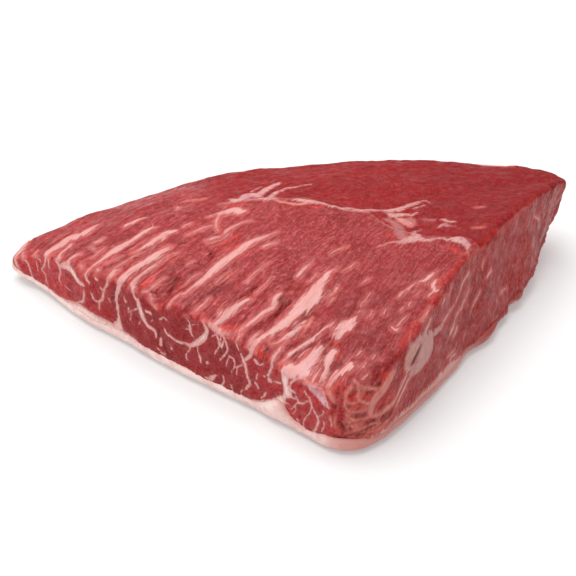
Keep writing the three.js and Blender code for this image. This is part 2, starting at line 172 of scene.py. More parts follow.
# Veins of fat on the face that is cut across the grain, likewise, along the face and up it
CUT_VEINS = [
    ((2.6, 1.9, 1.3, 1, 1.3, 1), [(25, 24.5), (25.5, 21.5), (24, 18), (21.5, 14.5), (24, 12.5),
       (25.5, 8.5)]),
    ((1.6, 1.6, 1.2), [(27, 24), (28.5, 22), (29, 19)]),
    ((2.8, 2.1, 1.4, 1.4, 1), [(35.5, 25.5), (37.5, 23.5), (37.5, 20), (37, 16), (38.5, 15)]),
    ((2.5, 3.7, 4, 3.7, 3.1, 2.2), [(37.5, 24), (43, 26.5), (47, 26.5), (50.5, 24.5), (54.5, 23.5),
       (59, 24.5)]),
    ((1.3, 1.6, 1.6, 1.1), [(59, 21), (58.5, 17), (56.5, 13), (52.5, 10.5)]),
    ((2.3, 2.3, 1.9, 1.5), [(60.5, 32), (60.5, 30.5), (60.5, 28.5), (62.5, 26.5)]),
    ((1.5, 1.5, 1.5, 1.2), [(4.5, 15.5), (11, 15.5), (13.5, 11.5), (14.5, 7.5)]),
    ((1, 1.2, 1.2), [(13.5, 19), (19, 20.5), (22, 19.5)]),
    ((1.2, 1.2, 1.2, 1.7, 1.7, 1.4, 1.7, 2, 1.7, 1.4), [(63.5, 21.5), (64.5, 18.5), (67, 17.5), (70, 19.5),
       (71, 22.5), (72, 26.5), (74, 30.5), (74, 33.5), (73, 34), (74, 34)]),
    ((0.9, 1.3), [(69.5, 26.5), (71.5, 26)]), ((1.1, 0.9), [(68.5, 17), (68.5, 14)]),
    ((1.7, 1.7), [(66.5, 30.5), (67.5, 30.5)]), ((1.5, 1.3), [(65, 33), (66.5, 33)]),
    ((1.3, 1.3), [(53, 30), (55, 30)]), ((1, 1), [(75, 22.5), (76, 21)]),
    ((3.4, 3.7, 3, 2.4, 2, 1.6, 1.5), [(82.5, 36), (82.5, 35), (82, 32), (80.5, 27.5), (80, 24),
       (80.5, 21.5), (80.5, 18.5)]),
    ((1.4, 1.6, 2.4, 4.8, 7.2), [(81, 20.5), (81, 16.5), (81.5, 13.5), (81.5, 10.5), (81, 8.5)]),
    ((2.9, 2, 1.7, 1.7), [(89.5, 35), (92, 34.5), (93.5, 32), (95, 31)]),
    ((2, 3.4, 3.7, 3, 2.7, 2, 2, 1.7), [(96, 31.5), (96.5, 28), (97.5, 25.5), (98.5, 22.5), (100, 20),
       (102.5, 19), (106, 18.5), (107.5, 16)]),
    ((1.3, 1.1, 0.9), [(96.5, 27), (92.5, 24), (88.5, 20.5)]), ((1.4, 1), [(88.5, 23), (88, 20.5)]),
    ((0.7, 0.7), [(96.5, 19), (95.5, 17)]), ((0.7, 0.6), [(90.5, 20.5), (90, 17)]),
    ((1.3, 1, 1), [(103, 33.5), (104, 32), (108, 31)]), ((1.6, 1.9), [(101, 27.5), (104, 27.5)]),
    ((1.3, 1.3), [(110, 15.5), (110.5, 12)]), ((0.7, 0.4), [(104, 22.5), (105.5, 24.5)]),
    ((1.4, 1.8), [(85, 28), (86.5, 26)]), ((1, 1), [(101.5, 34.5), (104, 32.5)]),
    ((1.3, 1.6, 1.3, 1.1), [(128.5, 36), (128.5, 37), (129, 37.5), (128.5, 38.5)]),
    ((1.3, 1.7, 1.9, 1.7, 1.7, 1.7, 2.2, 3, 3.7, 3.7, 2.6, 2.3, 1.5), [(113, 22.5), (114.5, 21),
       (117, 20.5), (120, 20), (122.5, 19.5), (126, 20), (128.5, 20), (131.5, 22), (134, 24.5), (136, 27),
       (137.5, 30), (138, 32.5), (135.5, 35)]),
    ((0.6, 1.1, 2, 1.4, 1.1), [(125, 34), (127.5, 32), (128, 29), (128.5, 26.5), (130.5, 24.5)]),
    ((0.5, 0.9), [(125.5, 27.5), (127.5, 28.5)]),
    ((1.5, 1, 1, 1.5), [(129, 19.5), (128, 16.5), (126.5, 14), (127, 11.5)]),
    ((1.2, 1, 2, 0.7), [(133, 21), (133.5, 18.5), (135, 16), (135.5, 13)]),
    ((1.8, 1.8), [(139, 15), (139.5, 15)]), ((1.7, 1.7), [(117.5, 14), (118, 14)]),
    ((1.4, 2.6, 3, 2.3, 1.4), [(138.5, 35.5), (141, 34.5), (143.5, 34), (146.5, 33.5), (150, 34.5)]),
    ((1.3, 1.3, 1.5, 1.3, 1.1, 0.8), [(146, 33.5), (148.5, 32.5), (150, 30.5), (150.5, 27.5), (149.5, 24),
       (147, 20.5)]),
    ((1, 1.2, 1, 0.8, 1.1), [(146.5, 32.5), (146.5, 31), (146, 28.5), (145, 25.5), (143.5, 22)]),
    ((0.7, 0.9), [(141, 30), (143, 32)]), ((1.5, 1.5), [(110.5, 16), (111, 12.5)]),
    ((0.9, 1.4), [(112, 8), (113, 8.5)]), ((1.1, 1.1, 1.1), [(110, 26.5), (112.5, 29), (114.5, 28.5)]),
    ((0.9, 0.9, 0.7), [(150.5, 27), (149.5, 24), (147, 20)]),
    ((1, 0.8, 0.6), [(152, 24.5), (151, 21.5), (150.5, 18)]),
    ((1.3, 1.3, 1.3, 1.1, 1.3), [(152, 24.5), (154, 23.5), (155, 21.5), (155.5, 19.5), (160, 23.5)]),
    ((0.8, 0.6, 0.5), [(155, 19.5), (154, 17), (153.5, 14)]), ((1, 0.6), [(156.5, 19.5), (157, 16.5)]),
    ((0.9, 1.8, 2.4, 2.1, 2.1, 1.8, 1.8, 1.2), [(158.5, 29), (160, 26.5), (161.5, 25), (162, 22.5),
       (163, 18.5), (164.5, 15), (163, 12), (162, 10.5)]),
    ((1.5, 1.5, 1.8), [(161, 26), (163.5, 29), (165.5, 32.5)]),
    ((1.3, 1.5, 1), [(148.5, 11.5), (149, 9), (147.5, 7)]), ((2.2, 1.9), [(167.5, 29.5), (168.5, 28.5)]),
    ((0.9, 1), [(170, 28), (172, 29.5)]), ((1, 1), [(169, 23), (168.5, 20)]),
    ((1.6, 1.6), [(168, 17), (169.5, 15)]),
    ((2, 1.5, 1.5, 1.2), [(176, 33), (176.5, 29), (175.5, 26), (174.5, 24)]),
    ((2.5, 2.5), [(175.5, 22.5), (176, 22)]), ((1.3, 1.3), [(172.5, 23), (173, 23)]),
    ((1.1, 1.1, 0.7), [(174, 14.5), (172.5, 11.5), (171, 10)]), ((1, 1.3), [(153.5, 9), (154.5, 8)]),
    ((0.7, 0.9), [(160.5, 9.5), (159, 7)]), ((0.7, 2.4, 0.7), [(138.5, 7.5), (142, 8), (145, 10.5)]),
    ((1, 1.3, 0.8), [(153.5, 35.5), (155.5, 34.5), (155.5, 32.5)]),
    ((1.4, 1.3), [(155.5, 32.5), (157, 30)]), ((2, 1.8, 1.6), [(164.5, 33), (164, 31), (161.5, 27)]),
    ((1.5, 1.3), [(175.5, 33), (176, 31.5)]), ((1.1, 1.2), [(178.5, 23), (182.5, 24)]),
    ((4.9, 4.3, 4.1, 4.3, 5.4), [(184, 30), (184.5, 28), (185, 25.5), (186, 23), (186.5, 20.5)]),
    ((0.7, 0.9, 0.6), [(18, 18), (19, 13)]), ((0.6, 0.8, 0.5), [(42, 15), (46, 14)]),
    ((3, 2.6, 1), [(0, 16), (3, 13), (6, 9)]), ((0.7, 1.4, 0.7), [(108, 10), (110, 9), (112, 8)]),
    ((0.5, 0.5, 0.3), [(128, 30), (130, 32), (133, 33)]),
    ((3.8, 3.4, 2.5), [(193, 32), (189, 31), (185, 30)]),
    ((2, 3.2, 5.6), [(186, 20), (184, 16), (182, 12)]),
    ((0.7, 1.3, 1.5, 1.3, 0.8), [(188, 24.5), (188.5, 27.5), (191, 30), (194, 31), (197, 30)]),
    ((1, 1.3, 1.3, 1.4, 1.4, 1.4, 1.3, 1), [(196, 27), (199.5, 24.5), (201, 21), (203, 19), (204.5, 17),
       (205, 14), (203.5, 9.5), (200, 6)]),
    ((0.8, 0.8, 0.7), [(201, 21), (200, 17), (198, 13.5)]),
    ((0.7, 0.8, 0.7), [(198, 13.5), (196.5, 10), (196, 7.5)]),
    ((0.7, 0.7, 0.7), [(204.5, 17), (207.5, 20.5), (208, 22.5)]),
    ((1, 1.3, 1.2, 1, 0.8), [(191.5, 21.5), (193, 19), (195, 19.5), (197.5, 21.5), (199.5, 24)]),
    ((0.9, 0.8, 0.7, 0.7), [(193, 19), (191, 16), (189.5, 13.5), (187.5, 12)]),
    ((0.7, 0.7, 0.7), [(191, 16), (191.5, 13.5), (190, 10.5)]),
    ((1.4, 1.2, 0.8), [(187.5, 20), (189.5, 19.5), (192.5, 20.5)]),
    ((1.7, 1.2, 0.7), [(185, 14.5), (187, 15), (188.5, 15)]),
    ((1.3, 0.8, 0.7), [(186, 9.5), (187.5, 9), (188.5, 8)]),
    ((0.8, 0.9, 0.7), [(196, 7.5), (197, 5.5), (198, 5.5)]),
    ((0.7, 0.7, 0.7, 0.7), [(207.5, 16.5), (208, 14.5), (207.5, 12), (206.5, 9.5)]),
    ((0.7, 0.7, 0.7), [(211, 19.5), (211.5, 17), (211.5, 14.5)]),
    ((0.7, 1, 0.7), [(192, 9), (193, 8.5), (192.5, 7)]),
    ((0.7, 0.9, 0.7), [(190, 6.5), (191.5, 6), (192.5, 5.5)]),
    ((1.6, 2.1, 1.4), [(187.5, 24.5), (189, 23.5), (191, 23.5)]),
]

# Veins of fat on the right side, likewise
SIDE_VEINS = [
    ((0.6, 0.8, 1.1, 1.4, 1.4, 1.7), [(82.5, 36.5), (77.5, 33.5), (73, 30.5), (67.5, 30), (65, 28),
       (63.5, 26)]),
    ((1.7, 1.1), [(63.5, 26), (59.5, 25)]), ((1.4, 1.2), [(67.5, 23.5), (63, 21.5)]),
    ((0.5, 0.9, 0.9, 1.4), [(65.5, 37), (60, 36.5), (55, 35), (51.5, 34)]),
    ((0.8, 1.3, 1.3), [(42, 43.5), (40, 41.5), (36.5, 40)]),
    ((0.9, 0.9, 0.9, 0.7, 0.7), [(83, 45), (78, 44.5), (75, 43.5), (72, 41), (68, 37.5)]),
    ((0.6, 0.9), [(64, 47.5), (61, 45)]), ((1, 1), [(56.5, 46), (54, 45)]),
    ((0.4, 0.5, 0.4), [(45, 47), (41, 46.5), (35.5, 45.5)]),
    ((0.3, 0.9, 0.3), [(91, 31), (86, 28), (82, 26)]), ((0.7, 1, 0.4), [(103, 36), (98, 34)]),
    ((0.5, 0.8, 0.5), [(100, 43), (97, 40)]), ((0.3, 0.8, 0.3), [(120, 16), (110, 18)]),
    ((0.4, 0.6, 0.4), [(63, 14), (56, 14)]), ((0.4, 0.9, 0.4), [(154, 39), (161, 33)]),
    ((1.2, 1, 0.7), [(21, 25), (18, 22), (14, 18), (11, 15)]),
    ((1, 1, 0.7), [(19, 32), (18, 26), (13, 21), (9, 17)]),
    ((0.9, 1.1, 0.7), [(58, 10), (60, 12), (64, 11)]),
]

# How high the fat reaches on the two sides, along the side and up
FAT_LINE_ON_CUT = [(0, 12), (6, 8), (13, 5), (25, 5.5), (37, 7), (49, 9.5), (60, 11), (68, 10), (83, 9),
                   (95, 7.5), (107, 6), (119, 6), (132, 5), (147, 5), (161, 6.5), (173, 9.5), (179, 14),
                   (183, 18), (187, 7.5), (192, 6), (201, 7), (211, 8), (216, 9)]
FAT_LINE_ON_SIDE = [(0, 8), (20, 9), (40, 9.5), (58, 9.5), (70, 7.5), (84, 4), (100, 6), (124, 7),
                    (136, 8), (190, 8)]

# Salmon coloured sinew, likewise
TOP_SINEW = [
    ((0.9, 1.5, 1.7, 1.5, 1.3), [(27.5, -96), (29.5, -98), (30.5, -98), (33.5, -97), (37, -95.5)]),
    ((1.9, 2.6, 2.2), [(55, 17), (56.5, 14.5), (58.5, 11)]), ((1, 1), [(83.5, -18.5), (83, -22.5)]),
    ((1.3, 1.3, 1.8, 2.2, 2.2, 1.3), [(-9, 36), (-6, 32.5), (-2, 30.5), (1.5, 29), (6, 29), (10.5, 29.5)]),
    ((0.8, 1.6, 1.6, 1.1), [(10, -54), (8, -58.5), (4.5, -60.5), (2, -63.5)]),
    ((1.4, 1.4, 0.9), [(6, -90), (8.5, -91), (12.5, -93)]),
    ((0.6, 0.9, 0.8), [(-10, 38), (-6, 34), (-2, 31), (1, 30)]),
    ((1.7, 2.5, 1.1), [(56, 18), (58, 16), (60, 12)]), ((1, 1.7, 1), [(52, 21), (55, 18), (57, 14)]),
    ((0.6, 0.9, 0.8), [(41, -12), (46, -10), (50, -9)]),
]
CUT_SINEW = [
    ((1.3, 1.1, 0.9, 0.7, 0.7), [(216, 34), (215, 31.5), (215.5, 29), (217.5, 27.5), (219.5, 28)]),
    ((0.7, 0.5, 0.5), [(218.5, 23.5), (217.5, 21.5), (217, 19.5)]),
    ((0.5, 0.7, 0.4), [(211.5, 21.5), (211, 19), (211.5, 16.5)]), ((0.5, 0.5), [(213, 21), (212.5, 17.5)]),
    ((1.6, 2.2, 1.4), [(207, 31), (209.5, 30), (211, 28)]),
    ((0.3, 0.5, 0.3), [(212.5, 22.5), (213, 19), (213, 15)]),
]
SIDE_SINEW = [
    ((2.9, 4.4, 4.7, 4.4, 5.1), [(10, 34.5), (7.5, 33), (4.5, 30.5), (1.5, 28.5), (-1, 27)]),
    ((4.3, 4.3, 3.1, 1.8), [(-1, 27), (-3.5, 25), (-4.5, 22.5), (-5, 19)]),
    ((2, 2.3, 2, 1.7, 1.1), [(9.5, 18.5), (6, 17.5), (2.5, 17.5), (-1.5, 17), (-4.5, 18)]),
    ((1.3, 1.3, 1.1, 1.3, 1.7), [(-7.5, 34.5), (-8.5, 32), (-9, 29), (-6.5, 26.5), (-4, 25)]),
    ((0.7, 0.7, 0.7, 0.7, 0.7), [(-13, 28.5), (-13.5, 26), (-12.5, 23.5), (-10, 23.5), (-7, 23.5)]),
    ((0.5, 0.5, 0.6, 0.5), [(-10, 18.5), (-12.5, 19), (-13.5, 16.5), (-14, 15.5)]),
    ((0.7, 0.7, 0.7, 0.9, 0.7), [(-11.5, 17), (-11, 14.5), (-8, 14.5), (-4.5, 14.5), (0, 12)]),
    ((0.8, 0.5, 0.5, 0.8, 0.8, 0.8), [(-12, 12), (-9.5, 12), (-6, 11), (-1, 10), (2.5, 11), (7.5, 11.5)]),
    ((0.5, 0.8, 0.9, 0.8, 0.5), [(-14, 23), (-13, 20.5), (-11.5, 19), (-7, 18.5), (0, 18)]),
    ((0.4, 0.6, 0.6, 0.4), [(-12, 14.5), (-9.5, 13), (-5, 12.5), (0.5, 11.5)]),
    ((0.4, 0.7, 0.4), [(-14, 19.5), (-13, 17), (-12, 13.5)]),
]

# Silverskin, likewise
TOP_SKIN = [
    ((1.3, 2.2, 3.1, 3.1, 3.1, 2.2), [(42, 27), (47.5, 26.5), (51.5, 27.5), (55, 29.5), (60, 33.5),
       (65.5, 37.5)]),
    ((1.6, 3.9, 3.5, 2.3), [(47.5, 24.5), (51.5, 22.5), (55, 23), (59, 22)]),
    ((1.2, 1.2, 0.9), [(60, 21), (62, 22.5), (63.5, 23.5)]), ((1.4, 1.4), [(62.5, 29), (65, 30)]),
    ((1.8, 4.5, 6.3, 4, 1.8), [(51, -9.5), (55, -9.5), (59.5, -7), (63, -8.5), (66.5, -10)]),
    ((3, 3), [(59, 1), (61.5, -3.5)]),
    ((1.8, 1.3, 1.3, 1.8), [(67, -9.5), (70, -8.5), (72.5, -8.5), (75, -10.5)]),
    ((1.4, 3.5, 5.5, 4.8, 3.5, 2.1), [(75, -10.5), (77, -10), (79, -10.5), (81.5, -12.5), (83, -16),
       (83.5, -19)]),
    ((0.8, 1.7, 1.7), [(74, 15), (76, 15), (77.5, 12.5)]),
    ((1.8, 1.8, 1.3), [(77.5, 12.5), (79.5, 11.5), (81, 11)]),
    ((1.3, 2.9, 1.3), [(73, 8), (75.5, 9.5), (77.5, 8.5)]), ((0.9, 0.9), [(78, 8.5), (80.5, 7.5)]),
    ((1.3, 1.8, 0.9), [(66.5, 31), (67.5, 31.5), (68, 31)]),
    ((2.4, 3.9, 4.7, 6.3, 6.3, 4.7), [(-31, 42), (-28.5, 39), (-25, 39), (-22.5, 46), (-19.5, 46),
       (-16.5, 44.5)]),
    ((4.2, 4.2, 3.6, 2.8, 1), [(-16.5, 46.5), (-14, 50), (-10.5, 54.5), (-7.5, 58), (-5.5, 61)]),
    ((3.1, 3.9, 3.1, 1.9, 1.6, 1.6, 1.2, 0.9, 0.8), [(-15, 37), (-11.5, 36.5), (-9.5, 44), (-8.5, 46.5),
       (-5.5, 49.5), (-2, 52.5), (3, 55), (6.5, 57.5), (10.5, 58.5)]),
    ((1.8, 3.1, 3.1, 3.1, 2.7), [(1.5, 33.5), (4, 33), (7, 32), (10, 31), (13, 30.5)]),
    ((3, 2.5, 2, 2, 2, 2), [(13.5, 30), (17.5, 29.5), (23, 26), (30, 27), (35.5, 24.5), (42.5, 27)]),
    ((1.1, 1.1), [(-20.5, 51), (-15.5, 56.5)]),
    ((1.4, 2.2, 1.3), [(19, 27), (24, 25), (30, 24), (36, 22), (39, 23)]),
    ((3.7, 2.2, 1), [(54, 28), (60, 33), (64, 36), (66, 38)]),
    ((1, 1.5, 0.5), [(59, -2), (61, 5), (64, 8)]), ((0.6, 0.6, 0.4), [(66, 38), (69, 39), (71, 34)]),
]
CUT_SKIN = [
    ((1, 2.4, 3.2, 2.9, 2, 0.7), [(197, 30), (199.5, 29.5), (202.5, 29), (205.5, 28), (208, 26),
       (210, 24.5)]),
]
SIDE_SKIN = [
    ((5.9, 8.6, 5.9), [(35, 38), (26, 39), (21, 37), (20, 33)]),
    ((7.2, 10.4, 6.4), [(40, 35), (38, 31), (32, 29), (24, 28)]),
    ((3.4, 2.8, 1.4), [(22, 31), (22, 27), (20, 25)]), ((1.6, 3.1, 1), [(41, 35), (47, 34), (53, 34)]),
    ((4, 5.5, 4), [(34, 35), (29, 33), (24, 31)]),
]

# A thin veil of skin that the red shows through, likewise
TOP_VEIL = [
    ((1.7, 2.4, 2.7, 2.1), [(49, 21), (50.5, 13.5), (52.5, 2.5), (53, -5.5)]),
    ((2.3, 2.8), [(67, 16.5), (70.5, 15.5)]), ((2.7, 2.7), [(-100.5, 15.5), (-98, 11.5)]),
    ((3.6, 6.3, 4.5), [(47, 18), (52, 13), (53, 1), (54, -6)]),
    ((4.8, 8, 4.8), [(54, 18), (58, 16), (60, 13)]), ((2, 5, 3), [(-36, 38), (-22, 38), (-8, 37)]),
]

# Clefts between bundles of fibres, likewise. They are dug into the surface and painted dark red where their
# shadow falls.
TOP_CLEFTS = [
    ((0.4, 0.8, 1.2, 1.2, 0.9, 0.5), [(-37, -2), (-37.5, -5), (-38.5, -10), (-40, -12), (-42, -12.5),
       (-45, -11.5)]),
    ((0.7, 1.5, 1.8, 1.4, 0.7), [(-53.5, -21), (-54.5, -23), (-55.5, -25.5), (-56.5, -28.5),
       (-58.5, -29.5)]),
    ((0.5, 1, 1, 0.5), [(-55.5, -19.5), (-57, -21), (-58.5, -23), (-60, -24)]),
    ((0.6, 1, 0.6), [(-54.5, 3), (-53.5, 4.5), (-51.5, 3.5)]),
    ((0.5, 0.8, 0.8, 0.5), [(-67, -28.5), (-65.5, -29), (-63.5, -30), (-63, -31.5)]),
    ((0.4, 0.9, 0.4), [(-66, 4), (-71, 1), (-76, -3)]), ((0.5, 1.3, 0.5), [(8, -52), (4, -57), (-1, -62)]),
    ((0.4, 1, 0.4), [(-1, -44), (-5, -49), (-9, -54)]), ((0.4, 1, 0.4), [(17, -66), (8, -72), (1, -77)]),
    ((0.4, 1.2, 0.4), [(22, -77), (19, -84), (16, -90)]),
    ((0.4, 1, 0.4), [(-64, -14), (-69, -18), (-74, -24)]),
]
CUT_CLEFTS = [
    ((0.9, 1.8, 0.9), [(215, 18), (217, 13)]), ((0.6, 0.9, 0.6), [(217, 10), (221, 12), (224, 13)]),
]
SIDE_CLEFTS = [
    ((0.8, 2.2, 2.2, 0.8), [(31, 37), (27, 36), (23, 34), (21, 32)]),
]

# Ridges of muscle beside the folds, likewise
TOP_RIDGES = [
    ((1.2, 2.8, 3.4, 2.4), [(-41, -2.5), (-41, -5), (-42.5, -7.5), (-44.5, -9.5)]),
    ((2, 3.1, 3.1, 2), [(-55.5, -20.5), (-56, -23), (-57.5, -25.5), (-59.5, -27.5)]),
    ((1.6, 2.6, 1.6), [(-5.5, -45.5), (-11.5, -52.5), (-16, -58)]),
]

# Where the meat is bright orange red, and where it is dark, likewise. The first two bright lines run along
# the upper edge of the right side, where they are a painted highlight.
TOP_BRIGHT = [
    # Along the upper edge of the right side: painted highlight
    ((1.4, 2.2, 2.6, 2.4, 2.6, 2.6, 2.8, 2.8, 3, 3, 2.6), [(74.5, -35.5), (71, -39.5), (68.5, -43),
       (67, -48), (65, -52.5), (63, -57), (61, -60.5), (59, -64), (56.5, -67), (52.5, -73.5), (48.5, -79)]),
    ((1.2, 1.2, 1.2, 1, 1), [(74.5, -36), (84.5, -21.5), (96, -3.5), (110.5, 17), (126, 39)]),
    ((1.4, 1.7, 1.7, 1), [(-35, 3), (-32, 3), (-30, 3.5), (-27.5, 5)]),
    ((1, 1.4, 1.4, 1), [(-32, -4), (-28.5, -3.5), (-26, -2.5), (-24, -1)]),
    ((1.6, 2.4, 1.6), [(-28, -57.5), (-25.5, -58.5), (-24.5, -59.5)]),
    ((1.6, 2.1, 1.6), [(5, -62), (7, -59.5), (9.5, -57)]), ((1.9, 1.9), [(-12.5, -75), (-10, -75)]),
    ((1.6, 1.6), [(-5.5, -80), (-3, -78.5)]), ((1.7, 2.2, 2.2), [(6, -81), (8, -78.5), (10.5, -75.5)]),
    ((0.6, 1, 1), [(-42, -50), (-38.5, -53), (-35.5, -53.5)]),
    ((1.5, 1.9, 1.9), [(-32.5, -56), (-29.5, -58), (-26.5, -58.5)]),
    ((2.2, 3, 2.2), [(-70, -26.5), (-68, -23.5), (-65.5, -21.5)]),
    ((1.1, 1.7), [(-68.5, 37.5), (-66, 35.5)]), ((1.7, 2, 0.8), [(-32.5, 3.5), (-28, 4.5), (-23.5, 6.5)]),
    ((1.4, 1.7, 0.9), [(-32, 34.5), (-28.5, 34), (-23, 32.5)]),
    ((1.3, 1.9, 1.3), [(10.5, 26), (14.5, 26), (16.5, 26.5)]), ((1.6, 2.7), [(19, -69.5), (20.5, -71.5)]),
    ((1.9, 1.9, 1.2), [(4.5, -60.5), (7, -59.5), (9, -57)]),
    ((1.8, 1.8, 1.1), [(45, 15.5), (46.5, 12), (48, 11.5)]), ((2, 2.5), [(47, -1.5), (49, -4)]),
    ((2.8, 2.8), [(76.5, -17.5), (79, -20.5)]), ((3, 3), [(21.5, -78), (21, -81.5)]),
    ((1.6, 2.7, 2.7, 1.6), [(17, -97), (19.5, -96.5), (22, -95), (23.5, -94)]),
    ((1.4, 1.4, 0.9), [(22, -99), (24, -99), (25.5, -98)]),
    ((2.8, 2.8, 1.7), [(39.5, -92), (40.5, -91), (42, -90)]),
]
CUT_BRIGHT = [
    ((1.5, 2.3, 2.3, 2.1, 1.2), [(118.5, 7.5), (123.5, 7.5), (129, 8), (134.5, 8), (139.5, 7.5)]),
    ((2.1, 2.1), [(109.5, 33), (110.5, 30)]), ((1.9, 2.5), [(4, 9), (6.5, 9)]),
    ((1.2, 1.8), [(10, 7.5), (12.5, 6.5)]), ((1.1, 1.3, 1.1), [(209, 9.5), (211.5, 11.5), (215, 11.5)]),
    ((1, 1.4, 1), [(214.5, 17.5), (215.5, 15), (216.5, 13)]),
]
SIDE_BRIGHT = [
    ((1.9, 2.4, 1.4), [(-12, 29), (-10.5, 30.5), (-9, 32)]),
    ((1.4, 1.9, 1), [(-11, 26.5), (-9.5, 26), (-8, 26)]),
    ((1.4, 1.8, 1.8, 0.9), [(-7, 30.5), (-6, 29.5), (-3.5, 29), (-2, 30.5)]),
    ((2.5, 3.1, 2.5, 2.5, 1.9), [(-1, 19.5), (1, 21.5), (3.5, 22), (6, 22.5), (9.5, 22.5)]),
    ((0.8, 1.1, 1.1, 0.8), [(-9, 9.5), (-2.5, 9.5), (3, 9.5), (6.5, 10)]),
]
TOP_DARK = [
    ((2, 3.4, 2), [(4, -53.5), (6.5, -53.5), (9.5, -50.5)]),
    ((1.3, 1.6, 1.3), [(1, -61), (4.5, -58), (8, -55.5)]), ((1.1, 1.1), [(-7, -65), (-5, -63.5)]),
    ((1.5, 1), [(-11.5, -73), (-10, -72)]),
    ((1, 1.4, 1.4, 1), [(-1.5, -77.5), (2, -75), (5, -73), (7.5, -71.5)]),
    ((1.9, 1.6), [(-19, -44), (-16.5, -42.5)]), ((2.4, 3.2, 2.4), [(-3.5, -42.5), (-1, -44), (0.5, -44)]),
    ((1.5, 1.5), [(-21.5, -47), (-24.5, -50)]), ((1.5, 2, 2), [(-60, -27.5), (-58, -24.5), (-56, -21.5)]),
    ((1.2, 1.8, 1.2), [(-73, -14), (-69.5, -10.5), (-66, -8.5)]), ((1.1, 1.1), [(-70, 3.5), (-72.5, 2)]),
    ((2.7, 3.4, 2), [(4.5, -53.5), (7.5, -52), (10, -50.5)]), ((0.9, 1.2), [(4.5, -57.5), (7, -56.5)]),
    ((1.2, 1.2), [(30, -54.5), (31, -54)]), ((1.3, 1.6, 1.3), [(57, 19.5), (58.5, 17), (60, 16)]),
    ((1.3, 1.3), [(59.5, 9.5), (60.5, 9.5)]), ((0.9, 0.9), [(61, 6.5), (63.5, 7.5)]),
    ((1, 1.5, 1.2), [(-15, 44.5), (-12, 46.5), (-8, 51)]),
    ((0.5, 0.8, 0.8, 0.5), [(-38.5, -37.5), (-35.5, -34), (-32, -30.5), (-31, -28.5)]),
    ((0.7, 1.2, 0.9), [(-33.5, -22.5), (-29.5, -19), (-26, -14.5)]),
    ((2.1, 2.5, 1.4), [(22, -85), (20, -87.5), (18, -90)]),
    ((1.9, 2.5, 1.2), [(15, -79), (12.5, -83), (10.5, -85)]),
    ((0.9, 0.9, 0.9), [(14, -78), (17, -75.5), (20.5, -74.5)]),
    ((0.5, 0.7, 0.5), [(12.5, -81), (11, -84), (10, -87.5)]),
    ((0.7, 0.9, 0.5), [(14.5, -86), (13.5, -88.5), (12, -91.5)]),
    ((1.1, 1.4, 0.7), [(18, -87), (16.5, -90), (15, -93)]),
]
CUT_DARK = [
    ((1.3, 1.3), [(78.5, 27), (79, 21)]), ((1.8, 1.8), [(109, 20), (109.5, 16.5)]),
    ((1.4, 2, 1.7), [(112, 16), (113.5, 12), (116, 9.5)]), ((2, 1.6), [(146, 26), (148, 24.5)]),
    ((1.5, 1.5), [(215.5, 16.5), (217.5, 17.5)]), ((1.9, 1.9), [(212, 25.5), (213.5, 25.5)]),
    ((1.4, 1.4), [(216, 25.5), (217, 26.5)]), ((1.5, 3, 1.5), [(214.5, 17.5), (217, 15.5), (219, 16)]),
    ((1.1, 1.7, 1.1), [(211.5, 11), (214.5, 10), (216.5, 12)]),
    ((0.4, 0.9, 0.4), [(216, 31.5), (218, 29.5), (218.5, 28)]),
]
SIDE_DARK = [
    ((1.5, 2.5, 2.5, 1.5), [(-13, 20), (-11.5, 21.5), (-8.5, 21), (-7, 20)]),
    ((1.5, 1.5), [(-11, 13), (-7.5, 12)]), ((1, 1.3, 1), [(-12.5, 11.5), (-10.5, 11), (-9.5, 11)]),
    ((1, 1.5, 1), [(-0.5, 15.5), (2.5, 15), (5.5, 14.5)]),
    ((0.7, 1, 0.7), [(-8.5, 17), (-5.5, 16.5), (-2, 15.5)]), ((1, 1), [(37.5, 38.5), (41, 37.5)]),
    ((1.1, 1.6, 1.1), [(1, 29.5), (1, 33), (3.5, 34.5)]),
    ((1, 1.5, 1.5, 1), [(-7, 30), (-5.5, 31), (-3, 30.5), (-1, 32.5)]),
    ((1.4, 2.1, 1.4), [(-0.5, 19.5), (2, 21.5), (6, 23)]),
    ((1, 1.5, 1), [(-12, 12), (-9, 10.5), (-4, 9.5)]),
    ((0.7, 1.2, 0.7), [(-10, 18.5), (-5.5, 15.5), (0.5, 14)]),
    ((0.9, 1.4, 0.9), [(-3.5, 12.5), (2, 12), (7, 13)]),
]

# Where lean meat and sinew are laced together, at the front corner
LACED_PLACE = np.array([33.0, -97.0, 20.0])
LACED_RADIUS = 17.0
BROAD_STREAK = 3.5  # streaks of fat this wide have the most ragged edges

# Where a wedge of the fat layer stands up between the large muscle and the small one
WEDGE_PLACE = np.array([-7.0, -81.0, 8.0])
WEDGE_RADIUS = 8.0

# Where the fat on the top is paler and colder in colour
COLD_PLACE = np.array([10.0, -72.0, 34.0])
COLD_RADIUS = 26.0

# The directions in plan that the cut face and the right side look in
TOWARD_CUT = np.array([-0.64, -0.77])
TOWARD_RIGHT = np.array([0.83, -0.56])

# Grid sizes for remeshing the two pieces, and the width below which a vein gets finer faces
LEAN_VOXEL = 1.85 * MM
FAT_VOXEL = 1.5 * MM
THIN_VEIN = 1.3


def deselect_all():
    bpy.ops.object.select_all(action="DESELECT")


def make_active(piece):
    deselect_all()
    piece.select_set(True)
    bpy.context.view_layer.objects.active = piece


def apply_modifier(piece, kind, **settings):
    make_active(piece)
    modifier = piece.modifiers.new(kind.lower(), kind)
    for key, value in settings.items():
        setattr(modifier, key, value)
    bpy.ops.object.modifier_apply(modifier=modifier.name)


